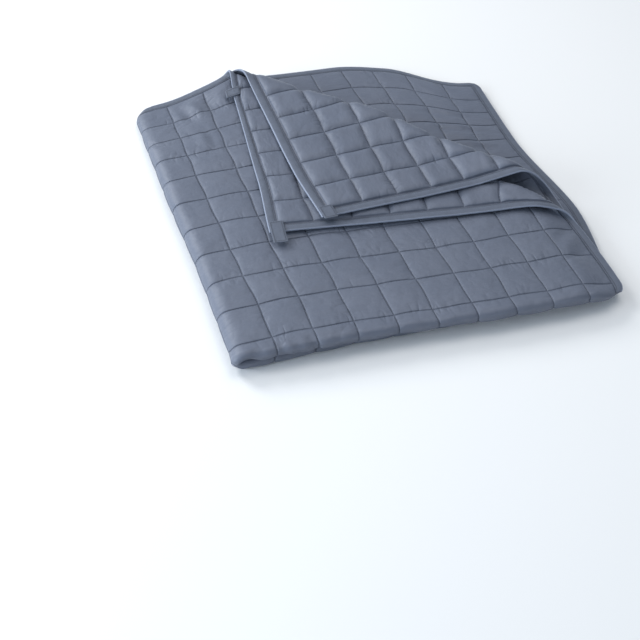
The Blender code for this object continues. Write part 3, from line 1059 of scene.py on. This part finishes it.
@dataclass
class TapeLoop:
    """A flat loop of tape, sewn to the binding at one end."""

    folds: FoldedPile
    relief: Relief
    name: str
    centre: tuple[float, float]
    size: tuple[float, float]
    side: Side
    height: float = 0.0033
    thickness: float = 0.0018
    corner: float = 0.002
    corner_steps: int = 4
    edge_share: float = 0.35
    edge_steps: int = 2
    cut_every: float = 0.004
    sharp_over: float = 50.0

    def build(self) -> bpy.types.Object:
        """Model the loop flat and fold it with the cloth that it is sewn to.

        Returns:
            The loop.
        """
        select_nothing()
        bpy.ops.mesh.primitive_cube_add(size=1.0)
        piece = bpy.context.active_object
        piece.name = piece.data.name = self.name
        piece.scale = (*self.size, self.thickness)
        bpy.ops.object.transform_apply(location=True, rotation=True, scale=True)
        self.round_corners(piece)
        self.divide(piece)
        self.fold(piece)
        return piece

    def round_corners(self, piece: bpy.types.Object) -> None:
        """Round the loop's four corners, then soften its edges.

        Args:
            piece: The loop, a flat block.
        """
        bpy.ops.object.mode_set(mode="EDIT")
        bpy.ops.mesh.select_mode(type="EDGE")
        self.select_edges(piece, upright=True)
        bpy.ops.mesh.bevel(offset=self.corner, segments=self.corner_steps, affect="EDGES")
        self.select_edges(piece, upright=False)
        softened = self.thickness * self.edge_share
        bpy.ops.mesh.bevel(offset=softened, segments=self.edge_steps, affect="EDGES")
        bpy.ops.object.mode_set(mode="OBJECT")

    def select_edges(self, piece: bpy.types.Object, upright: bool) -> None:
        """Select the upright edges, or else those round the two faces.

        Args:
            piece: The loop, in edit mode.
            upright: Which of the two.
        """
        mesh = bmesh.from_edit_mesh(piece.data)
        for edge in mesh.edges:
            rise = abs(edge.verts[0].co.z - edge.verts[1].co.z)
            folded = edge.calc_face_angle(0.0) > QUARTER_TURN / 2
            edge.select_set(rise > TINY if upright else rise < TINY and folded)
        bmesh.update_edit_mesh(piece.data)

    def divide(self, piece: bpy.types.Object) -> None:
        """Cut the loop both ways, so that it can bend, and give it a flat map.

        Args:
            piece: The loop, still flat.
        """
        mesh = bmesh.new()
        mesh.from_mesh(piece.data)
        for axis in (0, 1):
            count = round(self.size[axis] / self.cut_every)
            for number in range(1, count):
                point, normal = Vector((0, 0, 0)), Vector((0, 0, 0))
                point[axis] = self.size[axis] * (number / count - 0.5)
                normal[axis] = 1
                geometry = [*mesh.verts, *mesh.edges, *mesh.faces]
                bmesh.ops.bisect_plane(mesh, geom=geometry, dist=TINY, plane_co=point, plane_no=normal)
        layer = mesh.loops.layers.uv.new(FLAT_MAP)
        for face in mesh.faces:
            for loop in face.loops:
                loop[layer].uv = loop.vert.co.xy
        mesh.to_mesh(piece.data)
        mesh.free()

    def fold(self, piece: bpy.types.Object) -> None:
        """Carry the flat loop to its place on the pile.

        Args:
            piece: The loop, still flat.
        """
        x, y, z = read_points(piece)
        out = self.side.value * (self.height + self.thickness / 2) + z
        u, v = x + self.centre[0], y + self.centre[1]
        move_points(piece, self.folds.place(u, v, out + self.relief.lift(u, v)))
        piece.data.set_sharp_from_angle(angle=math.radians(self.sharp_over))


# ---------------------------------------------------------------- finishes


@dataclass(frozen=True)
class Pattern:
    """Noise over the flat cloth: waves per metre both ways, finer layers, and what sets it apart."""

    scale: tuple[float, float]
    detail: float = 2.0
    offset: float = 0.0


@dataclass(frozen=True)
class Lustre:
    """How cloth takes the light: its roughness, and the sheen of its fibres."""

    roughness: float
    sheen: float
    sheen_roughness: float
    sheen_tint: Colour


class NodeSheet:
    """A material's node tree, with short calls for the nodes that cloth needs."""

    def __init__(self, name: str) -> None:
        """Start a material with its shader and output.

        Args:
            name: Name of the material.
        """
        self.material = bpy.data.materials.new(name)
        self.material.use_nodes = True
        self.tree = self.material.node_tree
        self.shader = self.tree.nodes["Principled BSDF"]

    def feed(self, socket: Socket, value: float | tuple | Socket) -> None:
        """Set a socket to a value, or link another socket to it.

        Args:
            socket: The input.
            value: What it is given.
        """
        if isinstance(value, Socket):
            self.tree.links.new(value, socket)
        else:
            socket.default_value = value

    def math(self, operation: str, *values: float | Socket) -> Socket:
        """Add a Math node.

        Args:
            operation: Blender's name for the operation.
            values: Its inputs, as numbers or sockets.

        Returns:
            The node's result.
        """
        node = self.tree.nodes.new("ShaderNodeMath")
        node.operation = operation
        for socket, value in zip(node.inputs, values):
            self.feed(socket, value)
        return node.outputs[0]

    def rest(self, share: Socket) -> Socket:
        """Take a share from 1."""
        return self.math("SUBTRACT", 1.0, share)

    def step(self, value: Socket, start: float, end: float) -> Socket:
        """Go from 0 at start to 1 at end, level at both.

        Args:
            value: Where to read the step.
            start: Value at which it leaves 0.
            end: Value at which it reaches 1.

        Returns:
            The step.
        """
        node = self.tree.nodes.new("ShaderNodeMapRange")
        node.interpolation_type = "SMOOTHSTEP"
        self.feed(node.inputs["Value"], value)
        node.inputs["From Min"].default_value = start
        node.inputs["From Max"].default_value = end
        return node.outputs["Result"]

    def flat(self) -> Place:
        """Read the flat map.

        Returns:
            The place on the flat cloth, in metres, across and along.
        """
        uv = self.tree.nodes.new("ShaderNodeUVMap")
        uv.uv_map = FLAT_MAP
        parts = self.tree.nodes.new("ShaderNodeSeparateXYZ")
        self.feed(parts.inputs[0], uv.outputs[0])
        return parts.outputs[0], parts.outputs[1]

    def noise(self, place: Place, pattern: Pattern) -> Socket:
        """Spread noise over the flat cloth.

        Args:
            place: Place on the flat cloth.
            pattern: Which noise.

        Returns:
            The noise, about 0.5 on average.
        """
        spread = self.tree.nodes.new("ShaderNodeCombineXYZ")
        for socket, way, scale in zip(spread.inputs, place, pattern.scale):
            self.feed(socket, self.math("MULTIPLY", way, scale))
        spread.inputs[2].default_value = pattern.offset
        node = self.tree.nodes.new("ShaderNodeTexNoise")
        node.inputs["Scale"].default_value = 1.0
        node.inputs["Detail"].default_value = pattern.detail
        self.feed(node.inputs["Vector"], spread.outputs[0])
        return node.outputs[0]

    def past_rim(self, place: Place, half: tuple[float, float]) -> Place:
        """Measure how far places are past a rectangle round the middle of the cloth.

        Args:
            place: Place on the flat cloth.
            half: Half the rectangle's width and length.

        Returns:
            The distances past it across and along, negative inside.
        """
        across, along = (
            self.math("SUBTRACT", self.math("ABSOLUTE", way), limit) for way, limit in zip(place, half)
        )
        return across, along

    def blend(self, share: float | Socket, first: Colour | Socket, second: Colour) -> Socket:
        """Go from the first colour to the second.

        Args:
            share: How much of the second, from 0 to 1.
            first: The first colour.
            second: The second colour.

        Returns:
            The colour between them.
        """
        node = self.tree.nodes.new("ShaderNodeMix")
        node.data_type = "RGBA"
        factor, first_colour, second_colour = (node.inputs[number] for number in (0, 6, 7))
        self.feed(factor, share)
        self.feed(first_colour, first)
        self.feed(second_colour, second)
        return node.outputs[2]

    def finish(self, colour: Socket | Colour, lustre: Lustre, height: Socket) -> bpy.types.Material:
        """Give the shader its colour, its lustre and its relief.

        Args:
            colour: Colour of the cloth.
            lustre: How it takes the light.
            height: Relief in metres.

        Returns:
            The finished material.
        """
        bump = self.tree.nodes.new("ShaderNodeBump")
        bump.inputs["Strength"].default_value = 1.0
        bump.inputs["Distance"].default_value = 1.0
        self.feed(bump.inputs["Height"], height)
        inputs = {
            "Base Color": colour,
            "Roughness": lustre.roughness,
            "Sheen Weight": lustre.sheen,
            "Sheen Roughness": lustre.sheen_roughness,
            "Sheen Tint": lustre.sheen_tint,
            "Normal": bump.outputs[0],
        }
        for name, value in inputs.items():
            self.feed(self.shader.inputs[name], value)
        return self.material


@dataclass(frozen=True)
class Weave:
    """A plain weave: its pitch and how high its threads stand, in metres."""

    pitch: float
    height: float

    def relief(self, sheet: NodeSheet, place: Place) -> Socket:
        """Raise the threads over the flat cloth.

        Args:
            sheet: The material's nodes.
            place: Place on the flat cloth.

        Returns:
            Their height in metres.
        """
        rate = 2 * math.pi / self.pitch
        warp, weft = (sheet.math("SINE", sheet.math("MULTIPLY", way, rate)) for way in place)
        return sheet.math("MULTIPLY", sheet.math("MULTIPLY", warp, weft), self.height / 2)


@dataclass(frozen=True)
class Stitching:
    """A line of stitches: their pitch, length and width in metres, and where their edges fade."""

    pitch: float = 0.0032
    length: float = 0.0023
    width: float = 0.0008
    side_fade: tuple[float, float] = (0.35, 0.6)
    end_fade: tuple[float, float] = (0.42, 0.58)

    def mask(self, sheet: NodeSheet, off: Socket, along: Socket) -> Socket:
        """Find where the thread shows.

        Args:
            sheet: The material's nodes.
            off: Distance from the line.
            along: Distance along it.

        Returns:
            1 on the thread and 0 elsewhere.
        """
        beside = sheet.rest(sheet.step(off, *(self.width * share for share in self.side_fade)))
        phase = sheet.math("PINGPONG", along, self.pitch / 2)
        on_stitch = sheet.rest(sheet.step(phase, *(self.length * share for share in self.end_fade)))
        return sheet.math("MULTIPLY", beside, on_stitch)


@dataclass(frozen=True)
class QuiltFinish:
    """Slate blue cloth with a soft sheen, quilted in squares."""

    name: str = "quilt_cloth"
    colour: Colour = (0.133, 0.146, 0.187, 1.0)
    worn: Colour = (0.119, 0.133, 0.174, 1.0)
    # Painted shade: the dark colour laid into the seam grooves and beside the binding, where shade falls.
    groove_shade_colour: Colour = (0.040, 0.048, 0.074, 1.0)
    thread: Colour = (0.115, 0.128, 0.172, 1.0)
    lustre: Lustre = Lustre(0.52, 0.10, 0.40, (0.75, 0.83, 1.0, 1.0))
    weave: Weave = Weave(0.0009, 0.00005)
    stitching: Stitching = Stitching()
    flat: FlatSizes = FlatSizes()
    patches: Pattern = Pattern((9.0, 9.0), 3.0)
    patch_share: float = 0.6
    slubs: Pattern = Pattern((45.0, 420.0), 2.0, 7.7)
    slub_share: float = 0.4
    mottle_span: tuple[float, float] = (0.35, 0.65)
    groove_width: float = 0.0021
    groove_start: float = 0.25
    groove_height: float = 0.0008
    shaded: Pattern = Pattern((14.0, 14.0), 1.0, 4.4)
    shaded_span: tuple[float, float] = (0.30, 0.70)
    shade_more: float = 0.40
    shade_least: float = 0.48
    binding_shadow: float = 0.0014
    binding_shadow_share: float = 0.75
    thread_height: float = 0.0004
    soft: Pattern = Pattern((30.0, 30.0), 5.0, 9.1)
    soft_height: float = 0.0018
    crumple: Pattern = Pattern((17.0, 22.0), 3.0, 12.6)
    crumple_height: float = 0.0050
    pucker_depth: float = 0.0012
    pucker_reach: float = 0.030
    pucker_waves: tuple[Pattern, Pattern] = (
        Pattern((20.0, 52.0), 1.0, 1.7),
        Pattern((52.0, 20.0), 1.0, 5.3),
    )
    pucker_ridge: float = 6.0
    pucker_sharp: float = 1.5
    pucker_groups: tuple[Pattern, Pattern] = (
        Pattern((13.0, 13.0), 1.0, 3.7),
        Pattern((13.0, 13.0), 1.0, 7.3),
    )
    pucker_span: tuple[float, float] = (0.44, 0.68)

    def build(self) -> bpy.types.Material:
        """Make the material.

        Returns:
            The quilt's material.
        """
        sheet = NodeSheet(self.name)
        place = sheet.flat()
        u, v = place
        half = self.flat.square / 2
        off_u = sheet.math("PINGPONG", u, half)
        off_v = sheet.math("PINGPONG", sheet.math("SUBTRACT", v, half), half)
        thread = sheet.math(
            "MAXIMUM", self.stitching.mask(sheet, off_u, v), self.stitching.mask(sheet, off_v, u)
        )
        at_binding = sheet.math("MULTIPLY", self.beside_binding(sheet, place), self.binding_shadow_share)
        nearest = sheet.math("MINIMUM", sheet.math("MINIMUM", off_u, off_v), at_binding)
        groove = sheet.step(nearest, self.groove_width * self.groove_start, self.groove_width)
        body = sheet.blend(self.mottle(sheet, place), self.colour, self.worn)
        # Painted shade: in the seam grooves and on a line beside the binding the cloth is darkened towards a
        # near-black blue, more in some patches than others.
        shade_patches = sheet.step(sheet.noise(place, self.shaded), *self.shaded_span)
        shade = sheet.math("MULTIPLY_ADD", shade_patches, self.shade_more, self.shade_least)
        with_groove_shade = sheet.blend(sheet.math("MULTIPLY", sheet.rest(groove), shade), body, self.groove_shade_colour)
        height = self.relief(sheet, place, (off_u, off_v))
        height = sheet.math("ADD", height, sheet.math("MULTIPLY", groove, self.groove_height))
        height = sheet.math("ADD", height, sheet.math("MULTIPLY", thread, self.thread_height))
        height = sheet.math("ADD", height, self.weave.relief(sheet, place))
        return sheet.finish(sheet.blend(thread, with_groove_shade, self.thread), self.lustre, height)

    def mottle(self, sheet: NodeSheet, place: Place) -> Socket:
        """Vary the cloth in patches, and in fine streaks where its yarn is uneven.

        Args:
            sheet: The material's nodes.
            place: Place on the flat cloth.

        Returns:
            How worn the cloth looks, from 0 to 1.
        """
        slubs = sheet.math("MULTIPLY", sheet.noise(place, self.slubs), self.slub_share)
        patches = sheet.math("MULTIPLY", sheet.noise(place, self.patches), self.patch_share)
        return sheet.step(sheet.math("ADD", patches, slubs), *self.mottle_span)

    def beside_binding(self, sheet: NodeSheet, place: Place) -> Socket:
        """Measure from the line where the binding begins.

        Args:
            sheet: The material's nodes.
            place: Place on the flat cloth.

        Returns:
            The distance from it.
        """
        half_u, half_v = (half - self.binding_shadow for half in self.flat.quilted_half)
        past = sheet.past_rim(place, (half_u, half_v))
        return sheet.math("ABSOLUTE", sheet.math("MAXIMUM", *past))

    def relief(self, sheet: NodeSheet, place: Place, off: Place) -> Socket:
        """Raise the soft unevenness of the cloth and sink the puckers beside its stitches.

        Args:
            sheet: The material's nodes.
            place: Place on the flat cloth.
            off: Distances from the nearest stitched lines.

        Returns:
            The height in metres.
        """
        creases = (self.puckers(sheet, place, off[way], way) for way in (0, 1))
        puckers = sheet.math("ADD", *creases)
        soft = sheet.math("MULTIPLY", sheet.noise(place, self.soft), self.soft_height)
        crumple = sheet.math("ABSOLUTE", sheet.math("SUBTRACT", sheet.noise(place, self.crumple), 0.5))
        soft = sheet.math("ADD", soft, sheet.math("MULTIPLY", crumple, self.crumple_height))
        return sheet.math("SUBTRACT", soft, sheet.math("MULTIPLY", puckers, self.pucker_depth))

    def puckers(self, sheet: NodeSheet, place: Place, off: Socket, way: int) -> Socket:
        """Draw the short creases beside one set of stitched lines.

        Args:
            sheet: The material's nodes.
            place: Place on the flat cloth.
            off: Distance from the nearest line of the set.
            way: Which set: 0 for the lines across which u runs, 1 for the others.

        Returns:
            1 in the deepest crease and 0 where the cloth is smooth.
        """
        wave = sheet.noise(place, self.pucker_waves[way])
        ridge = sheet.math("MULTIPLY_ADD", wave, self.pucker_ridge, -self.pucker_ridge / 2)
        ridge = sheet.rest(sheet.math("ABSOLUTE", ridge))
        crease = sheet.math("POWER", sheet.math("MAXIMUM", ridge, 0.0), self.pucker_sharp)
        here = sheet.step(sheet.noise(place, self.pucker_groups[way]), *self.pucker_span)
        near = sheet.rest(sheet.step(off, 0.0, self.pucker_reach))
        return sheet.math("MULTIPLY", sheet.math("MULTIPLY", crease, here), near)


@dataclass(frozen=True)
class TapeFinish:
    """Woven tape, a little greyer and duller than the quilt, with one line of stitches."""

    name: str
    stitched_box: tuple[float, float] | None = None
    colour: Colour = (0.108, 0.122, 0.160, 1.0)
    worn: Colour = (0.097, 0.110, 0.144, 1.0)
    # Painted highlight: the pale colour along the binding's folded outer edge, standing in for the light
    # that it catches.
    folded: Colour = (0.235, 0.262, 0.335, 1.0)
    # Painted shade: the dark colour laid into the stitch groove.
    groove_shade_colour: Colour = (0.030, 0.036, 0.054, 1.0)
    thread: Colour = (0.100, 0.112, 0.145, 1.0)
    lustre: Lustre = Lustre(0.55, 0.15, 0.5, (0.8, 0.86, 1.0, 1.0))
    weave: Weave = Weave(0.0013, 0.00014)
    stitching: Stitching = Stitching()
    flat: FlatSizes = FlatSizes()
    stitch_depth: float = 0.0155
    wear: Pattern = Pattern((60.0, 60.0), 3.0)
    wear_span: tuple[float, float] = (0.35, 0.7)
    groove_span: tuple[float, float] = (0.0002, 0.0016)
    fold_highlight_span: tuple[float, float] = (0.0008, 0.0026)
    ripple: Pattern = Pattern((95.0, 95.0), 1.0, 3.0)
    ripple_height: float = 0.0005
    thread_height: float = 0.0004

    def build(self) -> bpy.types.Material:
        """Make the material.

        Returns:
            The tape's material.
        """
        sheet = NodeSheet(self.name)
        place = sheet.flat()
        off, thread = self.sewn_line(sheet, place)
        worn = sheet.step(sheet.noise(place, self.wear), *self.wear_span)
        body = sheet.blend(worn, self.colour, self.worn)
        if self.stitched_box is None:
            # Painted highlight along the binding's folded outer edge.
            body = sheet.blend(self.painted_fold_highlight(sheet, place), body, self.folded)
        # Painted shade: the tape is darkened along its stitch groove.
        with_groove_shade = sheet.blend(sheet.rest(sheet.step(off, *self.groove_span)), body, self.groove_shade_colour)
        ripple = sheet.math("MULTIPLY", sheet.noise(place, self.ripple), self.ripple_height)
        raised = sheet.math("MULTIPLY", thread, self.thread_height)
        height = sheet.math("ADD", sheet.math("ADD", raised, self.weave.relief(sheet, place)), ripple)
        return sheet.finish(sheet.blend(thread, with_groove_shade, self.thread), self.lustre, height)

    def painted_fold_highlight(self, sheet: NodeSheet, place: Place) -> Socket:
        """Find the binding's folded outer edge, where a pale painted highlight stands in for the light that
        it catches.

        Args:
            sheet: The material's nodes.
            place: Place on the flat cloth.

        Returns:
            1 at the edge and 0 away from it.
        """
        past = sheet.past_rim(place, (self.flat.width / 2, self.flat.length / 2))
        inside = sheet.math("MULTIPLY", sheet.math("MAXIMUM", *past), -1.0)
        return sheet.rest(sheet.step(inside, *self.fold_highlight_span))

    def sewn_line(self, sheet: NodeSheet, place: Place) -> tuple[Socket, Socket]:
        """Find the sewn line: along the binding, or round a loop's stitched box.

        Args:
            sheet: The material's nodes.
            place: Place on the tape's map.

        Returns:
            The distance from the line, and where its thread shows.
        """
        half = self.stitched_box
        if half is None:
            half = (self.flat.width / 2 - self.stitch_depth, self.flat.length / 2 - self.stitch_depth)
        past = sheet.past_rim(place, half)
        off = sheet.math("ABSOLUTE", sheet.math("MAXIMUM", *past))
        on_side = sheet.math("GREATER_THAN", *past)
        u, v = place
        along = sheet.math("ADD", sheet.math("MULTIPLY", on_side, sheet.math("SUBTRACT", v, u)), u)
        return off, self.stitching.mask(sheet, off, along)


# ---------------------------------------------------------------- the studio


@dataclass(frozen=True)
class SoftLight:
    """A square soft light: where it hangs, the length of its side, its power in watts and its colour."""

    name: str
    place: tuple[float, float, float]
    size: float
    power: float
    colour: tuple[float, float, float]

    def hang(self) -> None:
        """Hang the light, facing the pile."""
        light = bpy.data.lights.new(self.name, "AREA")
        light.size = self.size
        light.energy = self.power
        light.color = self.colour
        lamp = bpy.data.objects.new(self.name, light)
        facing = Vector(self.place).to_track_quat("Z", "Y").to_matrix().to_4x4()
        lamp.matrix_world = Matrix.Translation(self.place) @ facing
        bpy.context.scene.collection.objects.link(lamp)


@dataclass(frozen=True)
class Studio:
    """A pale floor, soft light and the camera at the photograph's angle."""

    lights: tuple[SoftLight, ...] = (
        SoftLight("window", (-2.2, 2.5, 2.2), 1.7, 100.0, (0.95, 0.98, 1.0)),
        SoftLight("left", (-3.0, -0.5, 0.8), 1.8, 88.0, (0.78, 0.89, 1.0)),
        SoftLight("overhead", (0.5, 0.4, 3.4), 2.6, 36.0, (1.0, 0.96, 0.92)),
        SoftLight("fill", (1.6, -2.8, 1.5), 2.4, 9.0, (0.72, 0.86, 1.0)),
    )
    world_colour: Colour = (0.72, 0.85, 1.0, 1.0)
    world_strength: float = 0.42
    camera_place: tuple[float, float, float] = (-0.92334, -1.91711, 1.7016)
    azimuth: float = -24.19
    elevation: float = 44.30
    roll: float = 7.82
    lens: float = 75.4
    sensor: float = 36.0
    floor_size: float = 14.0
    floor_below: float = 0.0006
    floor_colour: Colour = (0.93, 0.91, 0.89, 1.0)
    floor_roughness: float = 0.9

    def build(self) -> None:
        """Make the floor, the lights and the camera."""
        self.make_floor()
        for light in self.lights:
            light.hang()
        self.make_world()
        self.make_camera()
        bpy.context.scene.view_settings.view_transform = "Standard"

    def make_floor(self) -> None:
        """Lay a plain pale floor under the pile."""
        select_nothing()
        bpy.ops.mesh.primitive_plane_add(size=self.floor_size, location=(0, 0, -self.floor_below))
        floor = bpy.context.active_object
        floor.name = "floor"
        sheet = NodeSheet("floor_paper")
        sheet.shader.inputs["Base Color"].default_value = self.floor_colour
        sheet.shader.inputs["Roughness"].default_value = self.floor_roughness
        floor.data.materials.append(sheet.material)

    def make_world(self) -> None:
        """Surround the scene with soft, cool light."""
        world = bpy.data.worlds.new("studio")
        world.use_nodes = True
        background = world.node_tree.nodes["Background"]
        background.inputs["Color"].default_value = self.world_colour
        background.inputs["Strength"].default_value = self.world_strength
        bpy.context.scene.world = world

    def make_camera(self) -> None:
        """Place the camera by its angles, in degrees."""
        turn, rise, roll = (math.radians(angle) for angle in (self.azimuth, self.elevation, self.roll))
        level = Vector((math.cos(turn), math.sin(turn), 0.0))
        back = Vector((math.sin(turn) * math.cos(rise), -math.cos(turn) * math.cos(rise), math.sin(rise)))
        right = math.cos(roll) * level + math.sin(roll) * back.cross(level)
        up = back.cross(right)
        data = bpy.data.cameras.new("camera")
        data.lens = self.lens
        data.sensor_width = self.sensor
        camera = bpy.data.objects.new("camera", data)
        axes = Matrix((right, up, back)).transposed().to_4x4()
        camera.matrix_world = Matrix.Translation(self.camera_place) @ axes
        bpy.context.scene.collection.objects.link(camera)
        bpy.context.scene.camera = camera


# ---------------------------------------------------------------- the blanket


@dataclass
class WeightedBlanket:
    """The folded blanket: its quilted cloth, its binding and its loops of tape."""

    folds: FoldedPile = field(default_factory=FoldedPile)
    loop_size: tuple[float, float] = (0.060, 0.028)
    loop_sewn: float = 0.027
    tucked_length: float = 0.036
    tucked_past: float = 0.009
    crest_size: tuple[float, float] = (0.024, 0.044)
    loop_spacing: float = 0.31
    loop_inset: float = 0.002
    box_inset: float = 0.0035

    def build(self) -> None:
        """Make every piece, dress it and put it on the frame."""
        relief = Relief(self.wrinkles(), self.folds.flat.square)
        cloth = QuiltedCloth(self.folds, relief).build()
        self.dress(cloth, QuiltFinish().build(), "quilt", "quilt_cloth")
        binding = EdgeBinding(self.folds, relief).build()
        self.dress(binding, TapeFinish("binding_tape").build(), "edge_binding", "binding_tape")
        for loop, node in self.loops(relief):
            piece = loop.build()
            box = tuple(side / 2 - self.box_inset for side in loop.size)
            self.dress(piece, TapeFinish(loop.name, box).build(), node, "loop_tape")

    def wrinkles(self) -> list[Wrinkle]:
        """List the folds and puckers that the cloth fell into, placed one by one.

        Returns:
            The wrinkles, by the part of the pile that they are on.
        """
        crest = [
            Wrinkle((-1.50, 10.25), (-1.85, 9.15), 0.0052, 0.010),
            Wrinkle((-1.30, 9.95), (-1.58, 8.95), -0.0036, 0.007),
            Wrinkle((-1.66, 8.80), (-1.76, 7.35), -0.0032, 0.006),
            Wrinkle((-1.50, 8.60), (-1.62, 7.60), 0.0030, 0.007),
            Wrinkle((-1.95, 10.35), (-2.12, 9.45), -0.0030, 0.007),
            Wrinkle((-2.30, 10.30), (-2.50, 9.20), 0.0026, 0.009),
            Wrinkle((-1.10, 10.40), (-1.20, 9.40), 0.0022, 0.009),
        ]
        front_corner = [
            Wrinkle((-0.72, 0.14), (-0.10, -0.02), -0.0062, 0.007),
            Wrinkle((-0.50, 0.26), (0.10, 0.12), 0.0030, 0.008),
            Wrinkle((-0.60, -0.04), (0.20, 0.05), -0.0040, 0.006),
        ]
        front_fold = [
            Wrinkle((-0.95, 0.20), (-2.90, 0.22), -0.0022, 0.007),
            Wrinkle((-1.02, 0.36), (-1.24, -0.06), -0.0034, 0.006),
            Wrinkle((-1.40, 0.32), (-1.58, -0.06), -0.0028, 0.006),
            Wrinkle((-1.78, 0.30), (-2.02, -0.06), -0.0032, 0.006),
            Wrinkle((-2.42, 0.30), (-2.55, -0.04), -0.0024, 0.006),
        ]
        right_end = [
            Wrinkle((-9.95, 2.65), (-8.90, 1.95), -0.0030, 0.008),
            Wrinkle((-9.90, 2.25), (-9.10, 1.62), 0.0030, 0.009),
            Wrinkle((-9.95, 1.80), (-9.20, 1.35), -0.0022, 0.007),
            Wrinkle((-9.95, 3.25), (-9.20, 3.60), -0.0030, 0.007),
            Wrinkle((-9.95, 3.75), (-9.30, 4.05), 0.0030, 0.008),
            Wrinkle((-9.95, 4.25), (-9.40, 4.45), -0.0024, 0.006),
        ]
        right_side = [
            Wrinkle((7.60, line + near), (9.60, line + near + 0.10), height, 0.008)
            for line in (-8.5, -7.5, -6.5, -5.5, -4.5)
            for near, height in ((0.16, 0.0034), (0.40, -0.0024))
        ]
        return [*crest, *front_corner, *front_fold, *right_end, *right_side]

    def loops(self, relief: Relief) -> list[tuple[TapeLoop, str]]:
        """Place the loops that show.

        Args:
            relief: How the cloth under them stands out.

        Returns:
            Each loop with the name of its solid.
        """
        half_u, half_v = self.folds.flat.width / 2, self.folds.flat.length / 2
        long_side, short_side = self.loop_size
        beside = half_v - short_side / 2 - self.loop_inset
        hanging = (-half_u - long_side / 2 + self.loop_sewn, beside)
        tucked = (-half_u + self.tucked_length / 2 - self.tucked_past, -beside)
        tucked_size = (self.tucked_length, short_side)
        on_side = (-self.loop_spacing, half_v)
        shown = (
            ("hanging_loop", hanging, self.loop_size, Side.INNER, "corner_loop_hanging"),
            ("tucked_loop", tucked, tucked_size, Side.OUTER, "corner_loop_tucked"),
            ("crest_loop", on_side, self.crest_size, Side.INNER, "side_loop"),
        )
        return [(TapeLoop(self.folds, relief, *loop), node) for *loop, node in shown]

    @staticmethod
    def dress(piece: bpy.types.Object, finish: bpy.types.Material, node: str, slot: str) -> None:
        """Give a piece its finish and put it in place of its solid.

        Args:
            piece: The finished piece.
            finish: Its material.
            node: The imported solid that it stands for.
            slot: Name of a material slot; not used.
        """
        piece.data.materials.clear()
        piece.data.materials.append(finish)
        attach(piece, BODY)
        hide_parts(node)
        LOG.info("%s: %d faces for %s", piece.name, len(piece.data.polygons), node)


def main() -> None:
    """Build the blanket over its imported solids, then the studio round it."""
    logging.basicConfig(level=logging.INFO, format="%(name)s: %(message)s")
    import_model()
    WeightedBlanket().build()
    Studio().build()


if __name__ == "__main__":
    main()
